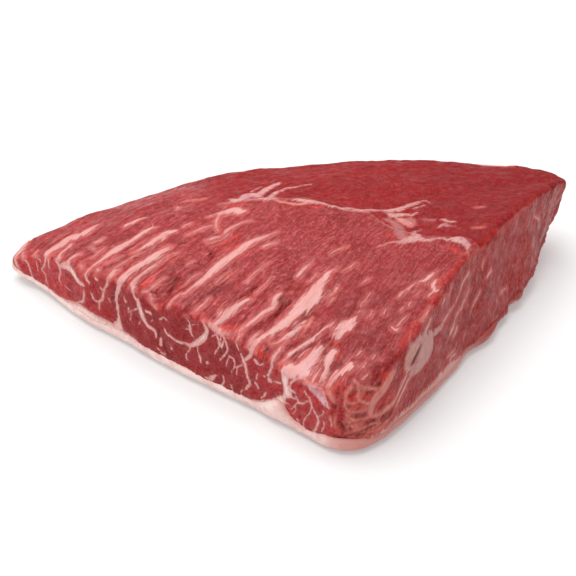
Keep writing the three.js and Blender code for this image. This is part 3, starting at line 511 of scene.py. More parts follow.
def copy_of_node(node, name):
    """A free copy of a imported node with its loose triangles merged."""
    make_active(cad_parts[node])
    bpy.ops.object.duplicate()
    piece = bpy.context.active_object
    piece.name = name
    piece.data.name = name
    piece.parent = None
    for key in [key for key in piece.keys() if key.startswith("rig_")]:
        del piece[key]
    bpy.ops.object.mode_set(mode="EDIT")
    bpy.ops.mesh.select_all(action="SELECT")
    bpy.ops.mesh.remove_doubles(threshold=0.01 * MM)
    bpy.ops.object.mode_set(mode="OBJECT")
    return piece


def pick_faces(piece, wanted):
    """Selects the faces for which wanted(centres in millimetres, normals) is true, in edit mode."""
    make_active(piece)
    bpy.ops.object.mode_set(mode="EDIT")
    bpy.ops.mesh.select_mode(type="FACE")
    bpy.ops.mesh.select_all(action="DESELECT")
    bpy.ops.object.mode_set(mode="OBJECT")
    count = len(piece.data.polygons)
    centres = np.empty(count * 3)
    normals = np.empty(count * 3)
    piece.data.polygons.foreach_get("center", centres)
    piece.data.polygons.foreach_get("normal", normals)
    picked = wanted(centres.reshape(-1, 3) / MM, normals.reshape(-1, 3))
    piece.data.polygons.foreach_set("select", picked)
    bpy.ops.object.mode_set(mode="EDIT")


def subdivide_where(piece, wanted):
    pick_faces(piece, wanted)
    bpy.ops.mesh.subdivide(number_cuts=1)
    bpy.ops.object.mode_set(mode="OBJECT")


def thin_out_where(piece, wanted, share):
    pick_faces(piece, wanted)
    bpy.ops.mesh.decimate(ratio=share)
    bpy.ops.object.mode_set(mode="OBJECT")


def places(piece):
    """The vertices in millimetres and their normals."""
    count = len(piece.data.vertices)
    points = np.empty(count * 3)
    normals = np.empty(count * 3)
    piece.data.vertices.foreach_get("co", points)
    piece.data.vertices.foreach_get("normal", normals)
    return points.reshape(-1, 3) / MM, normals.reshape(-1, 3)


def set_places(piece, points):
    piece.data.vertices.foreach_set("co", (points * MM).ravel())
    piece.data.update()


def keep_numbers(piece, **values):
    for name, numbers in values.items():
        piece.data.attributes.new(name, "FLOAT", "POINT").data.foreach_set("value", numbers)


def keep_vector(piece, name, values):
    piece.data.attributes.new(name, "FLOAT_VECTOR", "POINT").data.foreach_set("vector", values.ravel())


def lumps(points, size, seed=0.0):
    """Smooth noise from about -1 to 1. The size is one number or one for each axis."""
    scaled = points / np.asarray(size, float) + seed
    return np.array([noise.noise(p) for p in scaled])


def ease(values, low, high):
    share = np.clip((values - low) / (high - low), 0, 1)
    return share * share * (3 - 2 * share)


def bell(values, width):
    return np.exp(-((values / width) ** 2))


def beside_line(points, line):
    """The distance in plan to a line of places, less than 0 on its right, and how far along it, 0 to 1."""
    line = np.array(line, float)
    nearest = np.full(len(points), np.inf)
    side = np.ones(len(points))
    share = np.zeros(len(points))
    for number, (start, end) in enumerate(zip(line[:-1], line[1:])):
        step = end - start
        away = points[:, :2] - start
        part = np.clip(away @ step / (step @ step), 0, 1)
        gap = np.linalg.norm(away - part[:, None] * step, axis=1)
        closer = gap < nearest
        nearest[closer] = gap[closer]
        side[closer] = np.sign(step[0] * away[:, 1] - step[1] * away[:, 0])[closer]
        share[closer] = (number + part)[closer]
    return nearest * side, share / (len(line) - 1)


def smooth_line(line, steps=4):
    """A Catmull-Rom curve through the places of a line."""
    line = np.array(line, float)
    ends = np.vstack([2 * line[0] - line[1], line, 2 * line[-1] - line[-2]])
    made = []
    for k in range(1, len(ends) - 2):
        a, b, c, d = ends[k - 1:k + 3]
        for t in np.arange(steps) / steps:
            bend = (2 * a - 5 * b + 4 * c - d) * t**2 + (3 * b - a - 3 * c + d) * t**3
            made.append(b + 0.5 * ((c - a) * t + bend))
    made.append(line[-1])
    return np.array(made)


def side_directions(corner, far_corner):
    """The directions in plan along a side and straight out of it."""
    run = (far_corner - corner) / np.linalg.norm(far_corner - corner)
    return run, np.array([run[1], -run[0]])


class Surface:
    """The shape on which lines are laid."""

    def __init__(self, piece):
        mesh = piece.data
        self.tree = BVHTree.FromPolygons([v.co for v in mesh.vertices], [p.vertices for p in mesh.polygons])

    def hit(self, start, direction):
        found = self.tree.ray_cast(Vector(start) * MM, Vector(direction))[0]
        if found is None:
            found = self.tree.find_nearest(Vector(start) * MM)[0]
        return np.array(found) / MM

    def on_top(self, line):
        return np.array([self.hit((x, y, 100), (0, 0, -1)) for x, y in line])

    def on_side(self, line, corner, far_corner):
        """Lays a line given along and up the side between two corners."""
        run, out = side_directions(corner, far_corner)
        laid = []
        for along, height in line:
            x, y = corner + run * along + out * SIDE_SHELL
            laid.append(self.hit((x, y, height), (-out[0], -out[1], 0)))
        return np.array(laid)

    def lay(self, top=(), cut=(), side=()):
        """Every line as places on the surface with the width at each."""
        laid = []
        for lines, where in (
            (top, self.on_top),
            (cut, lambda line: self.on_side(line, THIN_END, FRONT_CORNER)),
            (side, lambda line: self.on_side(line, RIGHT_SIDE_START, THICK_END)),
        ):
            for widths, line in lines:
                spots = where(smooth_line(line))
                share = np.linspace(0, len(widths) - 1, len(spots))
                laid.append((spots, np.interp(share, range(len(widths)), widths)))
        return laid


def inside_lines(points, laid, reach=4.0, widths_near=None):
    """How far each point lies inside the edge of the nearest line, less than 0 outside.

    Points farther out than the reach get -reach. The width of the nearest line is written into
    widths_near where that is given.
    """
    inside = np.full(len(points), -reach)
    for spots, widths in laid:
        margin = reach + widths.max()
        near = np.where(((points > spots.min(0) - margin) & (points < spots.max(0) + margin)).all(1))[0]
        for start, end, wide, far_wide in zip(spots[:-1], spots[1:], widths[:-1], widths[1:]):
            step = end - start
            away = points[near] - start
            part = np.clip(away @ step / max(step @ step, 1e-9), 0, 1)
            gap = np.linalg.norm(away - part[:, None] * step, axis=1)
            width = wide + (far_wide - wide) * part
            deeper = width / 2 - gap > inside[near]
            inside[near[deeper]] = (width / 2 - gap)[deeper]
            if widths_near is not None:
                widths_near[near[deeper]] = width[deeper]
    return inside


def turned(across, along, angle):
    """Distances across and along fibres that lie at an angle to a line."""
    c, s = math.cos(angle), math.sin(angle)
    return c * across - s * along, c * along + s * across


def fan_fibres(points):
    """Distances across and along the fibres that fan out over the top."""
    away = FIBRE_POLE - points[:, :2]
    across = np.arctan2(away[:, 1], away[:, 0]) * FIBRE_REACH
    across += 1.1 * lumps(points, 17, 2.2) + 0.5 * lumps(points, 6, 9.1)
    return np.column_stack([across, np.linalg.norm(away, axis=1), points[:, 2] * 0.3])


def back_fibres(points):
    across, along = turned(points[:, 1], points[:, 0], BACK_FIBRE_ANGLE)
    across = across + 2.0 * lumps(points, 20, 4.2) + 0.8 * lumps(points, 7, 1.1)
    return np.column_stack([across, along * 1.7, points[:, 2] * 0.3])


def side_fibres(points):
    run, out = side_directions(RIGHT_SIDE_START, THICK_END)
    away = points[:, :2] - RIGHT_SIDE_START
    across, along = turned(points[:, 2], away @ run, SIDE_FIBRE_ANGLE)
    across = across + 0.9 * lumps(points, 14, 6.2)
    return np.column_stack([across * 0.7, along, away @ out * 0.3])


def zones(points, normals):
    """Shares from 0 to 1 of the top, the cut face, the right side and the part behind the seam."""
    top = ease(normals[:, 2], 0.3, 0.62)
    toward_cut = normals[:, :2] @ TOWARD_CUT
    toward_right = normals[:, :2] @ TOWARD_RIGHT
    cut =(1 - top) * ease(toward_cut - toward_right, 0.1, 0.7)
    right = (1 - top) * ease(toward_right - toward_cut, -0.3, 0.4)
    behind, share = beside_line(points, SEAM)
    back = ease(behind, -0.6, 0.6) * ease(share, 0.12, 0.3) * top
    return top, cut, right, back, behind, share


def below_fat_line(points, cut, right):
    """How far each point on the two sides lies below the line that the fat reaches up to."""
    depth = -4.0 * (1 - cut - right)
    for share, line, corner, far_corner in (
        (cut, FAT_LINE_ON_CUT, THIN_END, FRONT_CORNER),
        (right, FAT_LINE_ON_SIDE, RIGHT_SIDE_START, THICK_END),
    ):
        run, _ = side_directions(corner, far_corner)
        height = np.interp((points[:, :2] - corner) @ run, *zip(*line))
        depth += share * (height - points[:, 2])
    return depth


def foot_swelling(points, normals):
    low = ease(points[:, 2], FOOT_HEIGHT, 0.3 * FOOT_HEIGHT) * (1 - ease(np.abs(normals[:, 2]), 0.6, 0.9))
    return low * sum(out * bell(np.linalg.norm(points[:, :2] - place, axis=1), spread)
                     for place, spread, out in FOOT_SWELLS)


def edge_glow(points, normals):
    """Painted highlight: bright red patches along the rounded upper edge of the cut face, and a band along
    the upper edge of the right side, where these edges turn toward the light.
    """
    in_from_cut, _ = beside_line(points, CUT_EDGE)
    glow = bell(in_from_cut + 0.5, 2.6) * ease(lumps(points, 7, 5.5), 0.0, 0.5)
    glow = glow * ease(normals[:, 2], -0.1, 0.55)
    toward_right = normals[:, :2] @ TOWARD_RIGHT
    rim =ease(toward_right, 0.08, 0.4) * ease(normals[:, 2], 0.25, 0.6) * ease(points[:, 0], 30, 60)
    return np.maximum(glow, rim * (0.7 - 0.35 * ease(points[:, 0], 75, 100)))


def model_lean_meat():
    piece = copy_of_node("lean_muscle", "lean_meat")
    apply_modifier(piece, "REMESH", mode="VOXEL", voxel_size=LEAN_VOXEL)
    apply_modifier(piece, "SMOOTH", factor=0.5, iterations=3)
    thin_out_where(piece, lambda centres, normals: normals[:, 2] < -0.8, 0.12)
    subdivide_where(piece, lambda centres, normals: (normals[:, 2] > -0.6) & (normals[:, 1] < 0.5))
    apply_modifier(piece, "SMOOTH", factor=0.5, iterations=2)
    surface = Surface(piece)
    veins = surface.lay(TOP_STREAKS, CUT_VEINS, SIDE_VEINS)
    thin_veins = [(spots, widths) for spots, widths in veins if widths.max() < THIN_VEIN]
    subdivide_where(piece, lambda centres, normals: np.abs(inside_lines(centres, thin_veins)) < 0.55)

    points, normals = places(piece)
    top, cut, right, back, behind, along_seam = zones(points, normals)
    widths_near = np.full(len(points), BROAD_STREAK)
    fat = inside_lines(points, veins, widths_near=widths_near)
    fat = np.maximum(fat, below_fat_line(points, cut, right))
    rag = np.clip(widths_near / BROAD_STREAK, 0.3, 1)
    sinew = inside_lines(points, surface.lay(TOP_SINEW, CUT_SINEW, SIDE_SINEW))
    skin = inside_lines(points, surface.lay(TOP_SKIN, CUT_SKIN, SIDE_SKIN))
    veil = inside_lines(points, surface.lay(TOP_VEIL))
    cleft = inside_lines(points, surface.lay(TOP_CLEFTS, CUT_CLEFTS, SIDE_CLEFTS))
    ridge = inside_lines(points, surface.lay(TOP_RIDGES))
    bright = inside_lines(points, surface.lay(TOP_BRIGHT, CUT_BRIGHT, SIDE_BRIGHT))
    dark = inside_lines(points, surface.lay(TOP_DARK, CUT_DARK, SIDE_DARK))
    fan, over, across = fan_fibres(points), back_fibres(points), side_fibres(points)
    front = top * (1 - back)
    comb = front * ease(beside_line(points, CUT_EDGE)[0], 50, 12)
    laced = bell(np.linalg.norm(points - LACED_PLACE, axis=1), LACED_RADIUS)

    rise = front * (0.4 * lumps(fan, (4.6, 30, 8)) + 0.35 * lumps(fan, (2.3, 12, 4), 7.3))
    rise += comb * 0.35 * lumps(fan, (1.7, 14, 4), 3.7)
    rise += back * (0.35 * lumps(over, (4.0, 18, 8), 3.1) + 0.25 * lumps(points, 3.2, 2.4))
    rise += right * (0.45 * lumps(across, (3.4, 26, 8), 5.7) + 0.25 * lumps(points, 5.0, 2.9))
    rise += cut * (0.7 * lumps(points, 7.5, 2.9) + 0.25 * lumps(points, 3.0, 6.1))
    rise += (1 - top) * 0.45 * lumps(points, 12.0, 1.7)
    rise += laced * 0.7 * lumps(across, (2.6, 6, 4), 4.4)
    rise += 0.3 * ease(fat, -0.6, 0.6) * front - 0.4 * bell(fat + 1.0, 0.8) * front
    rise -= 0.35 * ease(fat, -1.2, 0.4) * cut
    rise += 0.4 * ease(skin, -0.4, 0.6) + 0.2 * ease(sinew, -0.4, 0.6)
    rise += 0.4 * bell(cleft + 2.0, 0.9) - 0.75 * ease(cleft, -0.9, 0.5) + 1.0 * ease(ridge, -2.2, 1.2)
    rise -= 0.35 * ease(dark, -0.8, 0.5)
    rise -= 0.9 * bell(behind - 0.8, 1.1) * ease(along_seam, 0.3, 0.45) * top
    rise += 0.4 + 0.45 * top + foot_swelling(points, normals)
    under = ease(-normals[:, 2], 0.5, 0.8)
    points = points + normals * (rise * (1 - under) + 0.6 * under)[:, None]
    points[:, 2] -= 1.2 * (1 - top) * ease(points[:, 2], 10.0, 6.5)
    set_places(piece, points)

    on_seam = top * ease(along_seam, 0.3, 0.4) * ease(points[:, 0], 76, 62)
    shade = front * ease(points[:, 0], -10, 40) * (0.1 + 0.22 * ease(points[:, 1], -5, -55))
    shade += back * 0.25 * ease(points[:, 0], 30, 100)
    shade += cut * 0.5 * ease(points[:, 0], -128, -65) * (1 - 0.7 * ease(points[:, 0], -28, -2))
    keep_numbers(piece, fat=fat, sinew=sinew, skin=skin, veil=veil, cleft=cleft, bright=bright, dark=dark)
    keep_numbers(piece, cut=cut, right=right, back=back, comb=comb, laced=laced, shade=shade)
    cold = bell(np.linalg.norm(points - COLD_PLACE, axis=1), COLD_RADIUS)
    keep_numbers(piece, seam=behind, on_seam=on_seam, glow=edge_glow(points, normals), cold=cold, rag=rag)
    keep_vector(piece, "fibre", fan)
    keep_vector(piece, "back_fibre", over)
    keep_vector(piece, "side_fibre", across)
    return piece


def model_fat_layer():
    piece = copy_of_node("fat_cap", "fat_layer")
    apply_modifier(piece, "REMESH", mode="VOXEL", voxel_size=FAT_VOXEL)
    apply_modifier(piece, "SMOOTH", factor=0.5, iterations=3)
    thin_out_where(piece, lambda centres, normals: np.abs(normals[:, 2]) > 0.97, 0.2)
    points, normals = places(piece)
    band = 1 - ease(np.abs(normals[:, 2]), 0.6, 0.9)
    ragged = ease(points[:, 0], 60, 95)
    rise = band * (0.4 * lumps(points, 12.0, 4.1) + 0.25 * lumps(points, 4.0, 8.3) - 0.1)
    rise += band * ragged * (1.2 * lumps(points, 11.0, 2.6) + 0.5 * lumps(points, 4.5, 5.2))
    rise += 0.9 * ease(normals[:, 2], 0.3, 0.8) + foot_swelling(points, normals)
    rise += 1.2 * bell(np.linalg.norm(points - WEDGE_PLACE, axis=1), WEDGE_RADIUS)
    points = points + normals * rise[:, None]
    points[:, 2] = np.maximum(points[:, 2], 0)
    set_places(piece, points)
    right = ease(points[:, 0], -30, 15) * ease(normals[:, 0], -0.9, 0.1)
    meaty = right * ease(points[:, 0], 82, 98) * ease(normals[:, 2], -0.5, 0)
    keep_numbers(piece, right=right, meaty=meaty)
    return piece


def put(tree, kind, sockets=None, **settings):
    """Adds a node. A socket gets a plain value or a link from another node's socket."""
    made = tree.nodes.new(kind)
    for key, value in settings.items():
        setattr(made, key, value)
    for key, value in (sockets or {}).items():
        if isinstance(value, bpy.types.NodeSocket):
            tree.links.new(value, made.inputs[key])
        else:
            made.inputs[key].default_value = value
    return made


def calc(tree, operation, *values):
    return put(tree, "ShaderNodeMath", dict(enumerate(values)), operation=operation).outputs[0]


def times(tree, first, second):
    return calc(tree, "MULTIPLY", first, second)


def blend(tree, factor, first, second):
    """Goes from the first value to the second as the factor goes from 0 to 1."""
    sockets = {0: factor, 2: first, 3: second}
    return put(tree, "ShaderNodeMix", sockets, data_type="FLOAT").outputs[0]


def mixed(tree, factor, first, second):
    sockets = {0: factor, 6: first, 7: second}
    return put(tree, "ShaderNodeMix", sockets, data_type="RGBA").outputs[2]


def stepped(tree, value, low, high):
    """0 at low, 1 at high, smooth between. Low may be the larger."""
    sockets = {0: value, 1: low, 2: high, 3: 0.0, 4: 1.0}
    return put(tree, "ShaderNodeMapRange", sockets, interpolation_type="SMOOTHSTEP").outputs[0]


def shaken(tree, value, noise_value, amount):
    """Moves a value up and down by noise around one half."""
    return calc(tree, "MULTIPLY_ADD", calc(tree, "SUBTRACT", noise_value, 0.5), amount, value)


def attribute(tree, name, output="Fac"):
    return put(tree, "ShaderNodeAttribute", attribute_name=name).outputs[output]


def speckle(tree, vector, scale, detail=2.0, roughness=0.5):
    sockets = {"Vector": vector, "Scale": scale, "Detail": detail, "Roughness": roughness}
    return put(tree, "ShaderNodeTexNoise", sockets).outputs["Fac"]


def grouped(tree, group, sockets):
    return put(tree, "ShaderNodeGroup", sockets, node_tree=group)


def new_group(name, inputs, outputs):
    """A shader node group with named sockets, and its input and output nodes."""
    group = bpy.data.node_groups.new(name, "ShaderNodeTree")
    for label, kind in inputs.items():
        group.interface.new_socket(label, in_out="INPUT", socket_type="NodeSocket" + kind)
    for label, kind in outputs.items():
        group.interface.new_socket(label, in_out="OUTPUT", socket_type="NodeSocket" + kind)
    return group, group.nodes.new("NodeGroupInput"), group.nodes.new("NodeGroupOutput")


def make_strand_group():
    """Noise drawn out along Y, as fibres and streaks are. Width and Length are in the vector's unit."""
    inputs = {"Vector": "Vector", "Width": "Float", "Length": "Float", "Detail": "Float"}
    group, entry, end = new_group("strands", inputs, {"Value": "Float"})
    narrow = calc(group, "DIVIDE", 1.0, entry.outputs["Width"])
    drawn = calc(group, "DIVIDE", 1.0, entry.outputs["Length"])
    scale = put(group, "ShaderNodeCombineXYZ", {0: narrow, 1: drawn, 2: narrow}).outputs[0]
    scaled = put(group, "ShaderNodeVectorMath", {0: entry.outputs["Vector"], 1: scale}, operation="MULTIPLY")
    value = speckle(group, scaled.outputs[0], 1.0, entry.outputs["Detail"], 0.6)
    group.links.new(value, end.inputs["Value"])
    return group


def make_moisture_group():
    """Roughness of a wet surface, a film that comes and goes."""
    inputs = {"Vector": "Vector", "Dry": "Float", "Wet": "Float", "Size": "Float"}
    group, entry, end = new_group("moisture", inputs, {"Roughness": "Float"})
    scale = calc(group, "DIVIDE", 1.0, entry.outputs["Size"])
    film = stepped(group, speckle(group, entry.outputs["Vector"], scale, 3.0), 0.42, 0.62)
    roughness = blend(group, film, entry.outputs["Dry"], entry.outputs["Wet"])
    group.links.new(roughness, end.inputs["Roughness"])
    return group


def make_fat_group():
    """The colour of fat: cream pink, paler in the thick of it, with pink threads."""
    inputs = {"Vector": "Vector", "Core": "Float", "Thread": "Float"}
    group, entry, end = new_group("fat_colour", inputs, {"Color": "Color"})
    cloud = speckle(group, entry.outputs["Vector"], 160.0, 3.0)
    pale = times(group, entry.outputs["Core"], blend(group, stepped(group, cloud, 0.3, 0.6), 0.7, 1.0))
    colour = mixed(group, pale, FAT_PINK, FAT_PALE)
    thread = times(group, stepped(group, entry.outputs["Thread"], 0.54, 0.4), 0.4)
    colour = mixed(group, thread, colour, FAT_BLUSH)
    group.links.new(colour, end.inputs["Color"])
    return group


def new_material(name):
    material = bpy.data.materials.new(name)
    material.use_nodes = True
    tree = material.node_tree
    tree.nodes.clear()
    shader = tree.nodes.new("ShaderNodeBsdfPrincipled")
    output = tree.nodes.new("ShaderNodeOutputMaterial")
    tree.links.new(shader.outputs[0], output.inputs["Surface"])
    return material, tree, shader


def srgb(red, green, blue):
    """A colour from its 0 to 255 screen values."""
    def linear(value):
        share = value / 255
        return share / 12.92 if share <= 0.04045 else ((share + 0.055) / 1.055) ** 2.4
    return (linear(red), linear(green), linear(blue), 1.0)


TOP_RED = srgb(143, 31, 34)
TOP_PINK = srgb(184, 72, 72)
BACK_RED = srgb(138, 9, 13)
CUT_RED = srgb(178, 34, 40)
SIDE_RED = srgb(160, 46, 44)
# Deep red of darker meat, also used for the painted shade in the clefts
DEEP_RED = srgb(96, 2, 8)
# Bright orange red of the meat's brighter patches, also used for the painted highlight along the upper edges
BRIGHT_RED = srgb(208, 50, 36)
SALMON = srgb(192, 100, 88)
SALMON_PALE = srgb(206, 128, 116)
FAT_PINK = srgb(186, 112, 108)
FAT_PALE = srgb(234, 206, 200)
FAT_BLUSH = srgb(206, 112, 106)
FAT_COLD = srgb(206, 160, 160)
SKIN_PALE = srgb(201, 151, 144)
SKIN_PURPLE = srgb(188, 134, 140)
SKIN_LILAC = srgb(230, 192, 204)
SKIN_TAN = srgb(192, 146, 134)

MEAT_SURFACE = {
    "Specular IOR Level": 0.2,
    "Subsurface Weight": 0.15,
    "Subsurface Radius": (1.0, 0.35, 0.3),
    "Subsurface Scale": 1.0 * MM,
}
FAT_SURFACE = {
    "Specular IOR Level": 0.35,
    "Subsurface Weight": 0.3,
    "Subsurface Radius": (1.0, 0.6, 0.5),
    "Subsurface Scale": 1.5 * MM,
}


def set_surface(tree, shader, colour, wet, bump, values):
    """Links the colour, wetness and bump to the shader, and sets its plain values."""
    tree.links.new(colour, shader.inputs["Base Color"])
    tree.links.new(wet.outputs["Roughness"], shader.inputs["Roughness"])
    tree.links.new(bump.outputs["Normal"], shader.inputs["Normal"])
    for name, value in values.items():
        shader.inputs[name].default_value = value


def fibre_noise(tree, strands, places_on, width, length, detail=3.0):
    """Strands along the fibres of the front of the top, of its back, and of the right side."""
    values = []
    for name in ("fibre", "back_fibre", "side_fibre"):
        vector = attribute(tree, name, "Vector")
        sockets = {"Vector": vector, "Width": width, "Length": length, "Detail": detail}
        values.append(grouped(tree, strands, sockets).outputs["Value"])
    upper = blend(tree, places_on["back"], values[0], values[1])
    return blend(tree, places_on["right"], upper, values[2])


def threads(tree, value, centre, spread):
    """1 where a noise passes through one value, which draws thin wandering lines."""
    away = calc(tree, "ABSOLUTE", calc(tree, "SUBTRACT", value, centre))
    return stepped(tree, away, spread, 0.25 * spread)


def lean_colour(tree, here, places_on, fine, broad, grain):
    """Red meat: its zones, then the lighter and darker strands and clouds in it."""
    back, cut, right = places_on["back"], places_on["cut"], places_on["right"]
    red = mixed(tree, back, TOP_RED, BACK_RED)
    red = mixed(tree, cut, red, CUT_RED)
    red = mixed(tree, right, red, SIDE_RED)
    pale = times(tree, stepped(tree, broad, 0.42, 0.7), blend(tree, back, 0.55, 0.1))
    red = mixed(tree, times(tree, pale, calc(tree, "SUBTRACT", 1.0, cut)), red, TOP_PINK)
    cloud = stepped(tree, speckle(tree, here, 60.0, 3.0), 0.54, 0.3)
    red = mixed(tree, times(tree, cloud, 0.25), red, DEEP_RED)
    crevice = times(tree, stepped(tree, fine, 0.5, 0.33), blend(tree, back, 0.5, 0.75))
    red = mixed(tree, crevice, red, DEEP_RED)
    specks = times(tree, stepped(tree, grain, 0.49, 0.41), blend(tree, back, 0.5, 0.45))
    red = mixed(tree, specks, red, DEEP_RED)
    dark = stepped(tree, shaken(tree, attribute(tree, "dark"), fine, 2.0), -0.9, 0.5)
    red = mixed(tree, times(tree, dark, 0.7), red, DEEP_RED)
    # Painted highlight: bright red along the upper edges of the cut face and the right side, joined with the
    # bright patches below
    glow = times(tree, times(tree, attribute(tree, "glow"), stepped(tree, fine, 0.35, 0.6)), 0.6)
    bright = stepped(tree, shaken(tree, attribute(tree, "bright"), fine, 2.6), -1.1, 0.7)
    bright = times(tree, bright, blend(tree, stepped(tree, grain, 0.35, 0.6), 0.3, 0.6))
    return mixed(tree, calc(tree, "MAXIMUM", glow, bright), red, BRIGHT_RED)


def light_threads(tree, here, places_on, fine, fine_long, grain, near_fat):
    """Masks of the pale strands between the fibres, of the lace of fat on the cut face, and of pale flecks
    that are partly painted glints.
    """
    cut = places_on["cut"]
    strands = times(tree, stepped(tree, fine, 0.53, 0.66), blend(tree, cut, 0.42, 0.12))
    strands = times(tree, strands, blend(tree, places_on["back"], 1.0, 0.35))
    patches = stepped(tree, speckle(tree, here, 55.0), 0.42, 0.6)
    amount = blend(tree, places_on["back"], blend(tree, near_fat, 0.35, 0.8), 0.12)
    lines = times(tree, times(tree, threads(tree, fine_long, 0.53, 0.022), patches), amount)
    warp = put(tree, "ShaderNodeTexNoise", {"Vector": here, "Scale": 260.0, "Detail": 3.0}).outputs["Color"]
    sway = put(tree, "ShaderNodeVectorMath", {0: warp, "Scale": 4 * MM}, operation="SCALE").outputs[0]
    bent = put(tree, "ShaderNodeVectorMath", {0: here, 1: sway}, operation="ADD").outputs[0]
    lace = threads(tree, speckle(tree, bent, 230.0, 1.0), 0.5, 0.03)
    lace = times(tree, lace, stepped(tree, speckle(tree, here, 90.0), 0.46, 0.56))
    lace = times(tree, times(tree, lace, blend(tree, near_fat, 0.25, 0.55)), cut)
    # Pale flecks in the grain: partly flecks of fat, partly painted glints of the wet surface
    flecks_and_glints = times(tree, stepped(tree, grain, 0.54, 0.63), blend(tree, cut, 0.34, 0.2))
    flecks_and_glints = times(tree, flecks_and_glints, blend(tree, places_on["back"], 1.0, 0.5))
    lines = calc(tree, "MAXIMUM", times(tree, lines, calc(tree, "SUBTRACT", 1.0, cut)), lace)
    return strands, calc(tree, "MAXIMUM", lines, flecks_and_glints)


def lean_material(strands, moisture, fat_look):
    material, tree, shader = new_material("lean_meat")
    here = put(tree, "ShaderNodeTexCoord").outputs["Object"]
    places_on = {name: attribute(tree, name) for name in ("cut", "right", "back")}
    cut = places_on["cut"]
    dots = speckle(tree, here, 850.0, 2.0, 0.6)
    dashes = fibre_noise(tree, strands, places_on, 0.9, 2.2, 2.0)
    grain = blend(tree, blend(tree, cut, 0.6, 0.0), dots, dashes)
    coarse = speckle(tree, here, 330.0, 3.0, 0.6)
    thorns = speckle(tree, here, 650.0, 2.0, 0.6)
    along = fibre_noise(tree, strands, places_on, 0.7, 4.5)
    fine = blend(tree, blend(tree, cut, blend(tree, places_on["back"], 0.5, 0.65), 1.0), along, coarse)
    broad = fibre_noise(tree, strands, places_on, 2.4, 15.0, 2.0)
    fine_long = fibre_noise(tree, strands, places_on, 2.1, 26.0, 1.0)
    fat_depth = attribute(tree, "fat")
    near_fat = stepped(tree, fat_depth, -4.0, -1.0)
    red = lean_colour(tree, here, places_on, fine, broad, grain)
    pale_strands, pale_lines = light_threads(tree, here, places_on, fine, fine_long, grain, near_fat)
    red = mixed(tree, pale_strands, red, mixed(tree, places_on["right"], FAT_BLUSH, SALMON_PALE))
    red = mixed(tree, pale_lines, red, FAT_PINK)
    comb = attribute(tree, "comb")
    stripe = fibre_noise(tree, strands, places_on, 1.2, 24.0, 2.0)
    red = mixed(tree, times(tree, times(tree, stepped(tree, stripe, 0.46, 0.38), comb), 0.5), red, DEEP_RED)
    red = mixed(tree, times(tree, times(tree, stepped(tree, stripe, 0.56, 0.68), comb), 0.35), red, FAT_BLUSH)
    laced = times(tree, stepped(tree, attribute(tree, "laced"), 0.1, 0.7), stepped(tree, broad, 0.4, 0.6))
    red = mixed(tree, times(tree, laced, 0.45), red, SALMON)
    sinew = shaken(tree, shaken(tree, attribute(tree, "sinew"), fine, 1.4), thorns, 1.2)
    thready = blend(tree, stepped(tree, along, 0.36, 0.58), 0.45, 0.85)
    red = mixed(tree, times(tree, stepped(tree, sinew, -1.1, 0.5), thready), red, SALMON)
    red = mixed(tree, times(tree, stepped(tree, sinew, -0.4, 0.7), thready), red, SALMON_PALE)

    seam = shaken(tree, shaken(tree, attribute(tree, "seam"), along, 2.4), coarse, 2.0)
    on_seam = attribute(tree, "on_seam")
    band = times(tree, stepped(tree, seam, -2.6, -1.2), stepped(tree, seam, 0.9, 0.1))
    red = mixed(tree, times(tree, times(tree, band, on_seam), 0.6), red, SALMON)
    crest = times(tree, threads(tree, seam, -0.3, 0.8), on_seam)
    red = mixed(tree, times(tree, crest, 0.75), red, SKIN_PALE)

    grooves = fibre_noise(tree, strands, places_on, 0.75, 13.0, 2.0)
    rag = attribute(tree, "rag")
    ragged = shaken(tree, fat_depth, along, times(tree, rag, blend(tree, cut, 2.8, 0.7)))
    ragged = shaken(tree, ragged, grooves, times(tree, rag, blend(tree, cut, 4.2, 0.0)))
    ragged = shaken(tree, ragged, thorns, blend(tree, cut, 1.0, 1.5))
    blush = times(tree, stepped(tree, ragged, -2.4, -0.2), blend(tree, cut, 0.45, 0.15))
    red = mixed(tree, blush, red, FAT_BLUSH)
    fat_mask = stepped(tree, ragged, blend(tree, cut, -0.35, -0.2), 0.28)
    core = times(tree, stepped(tree, ragged, -0.2, 0.9), blend(tree, cut, 0.3, 0.5))
    core = calc(tree, "MAXIMUM", core, times(tree, stepped(tree, ragged, 0.7, 1.8), cut))
    fat = grouped(tree, fat_look, {"Vector": here, "Core": core, "Thread": grooves}).outputs[0]
    cold = times(tree, attribute(tree, "cold"), stepped(tree, broad, 0.35, 0.6))
    fat = mixed(tree, times(tree, cold, 0.7), fat, FAT_COLD)
    fat = mixed(tree, times(tree, places_on["right"], 0.5), fat, mixed(tree, 0.4, SALMON_PALE, FAT_PALE))
    sides = calc(tree, "MAXIMUM", cut, places_on["right"])
    solid = blend(tree, sides, blend(tree, stepped(tree, rag, 0.2, 0.7), 0.6, 1.0), 1.0)
    colour = mixed(tree, times(tree, fat_mask, solid), red, fat)
    skin = shaken(tree, shaken(tree, attribute(tree, "skin"), thorns, 1.6), along, 2.6)
    veil = shaken(tree, calc(tree, "MAXIMUM", attribute(tree, "skin"), attribute(tree, "veil")), fine, 3.0)
    skin_colour = mixed(tree, stepped(tree, speckle(tree, here, 130.0), 0.36, 0.56), SKIN_PURPLE, SKIN_PALE)
    skin_colour = mixed(tree, times(tree, places_on["right"], 0.6), skin_colour, SKIN_TAN)
    skin_colour = mixed(tree, times(tree, cut, 0.6), skin_colour, SKIN_LILAC)
    skin_colour = mixed(tree, times(tree, stepped(tree, along, 0.52, 0.36), 0.5), skin_colour, FAT_BLUSH)
    colour = mixed(tree, times(tree, stepped(tree, veil, -1.2, 1.6), 0.4), colour, skin_colour)
    worn = blend(tree, stepped(tree, along, 0.34, 0.56), 0.5, 0.88)
    skinned = times(tree, stepped(tree, skin, -0.6, 0.9), worn)
    colour = mixed(tree, skinned, colour, skin_colour)
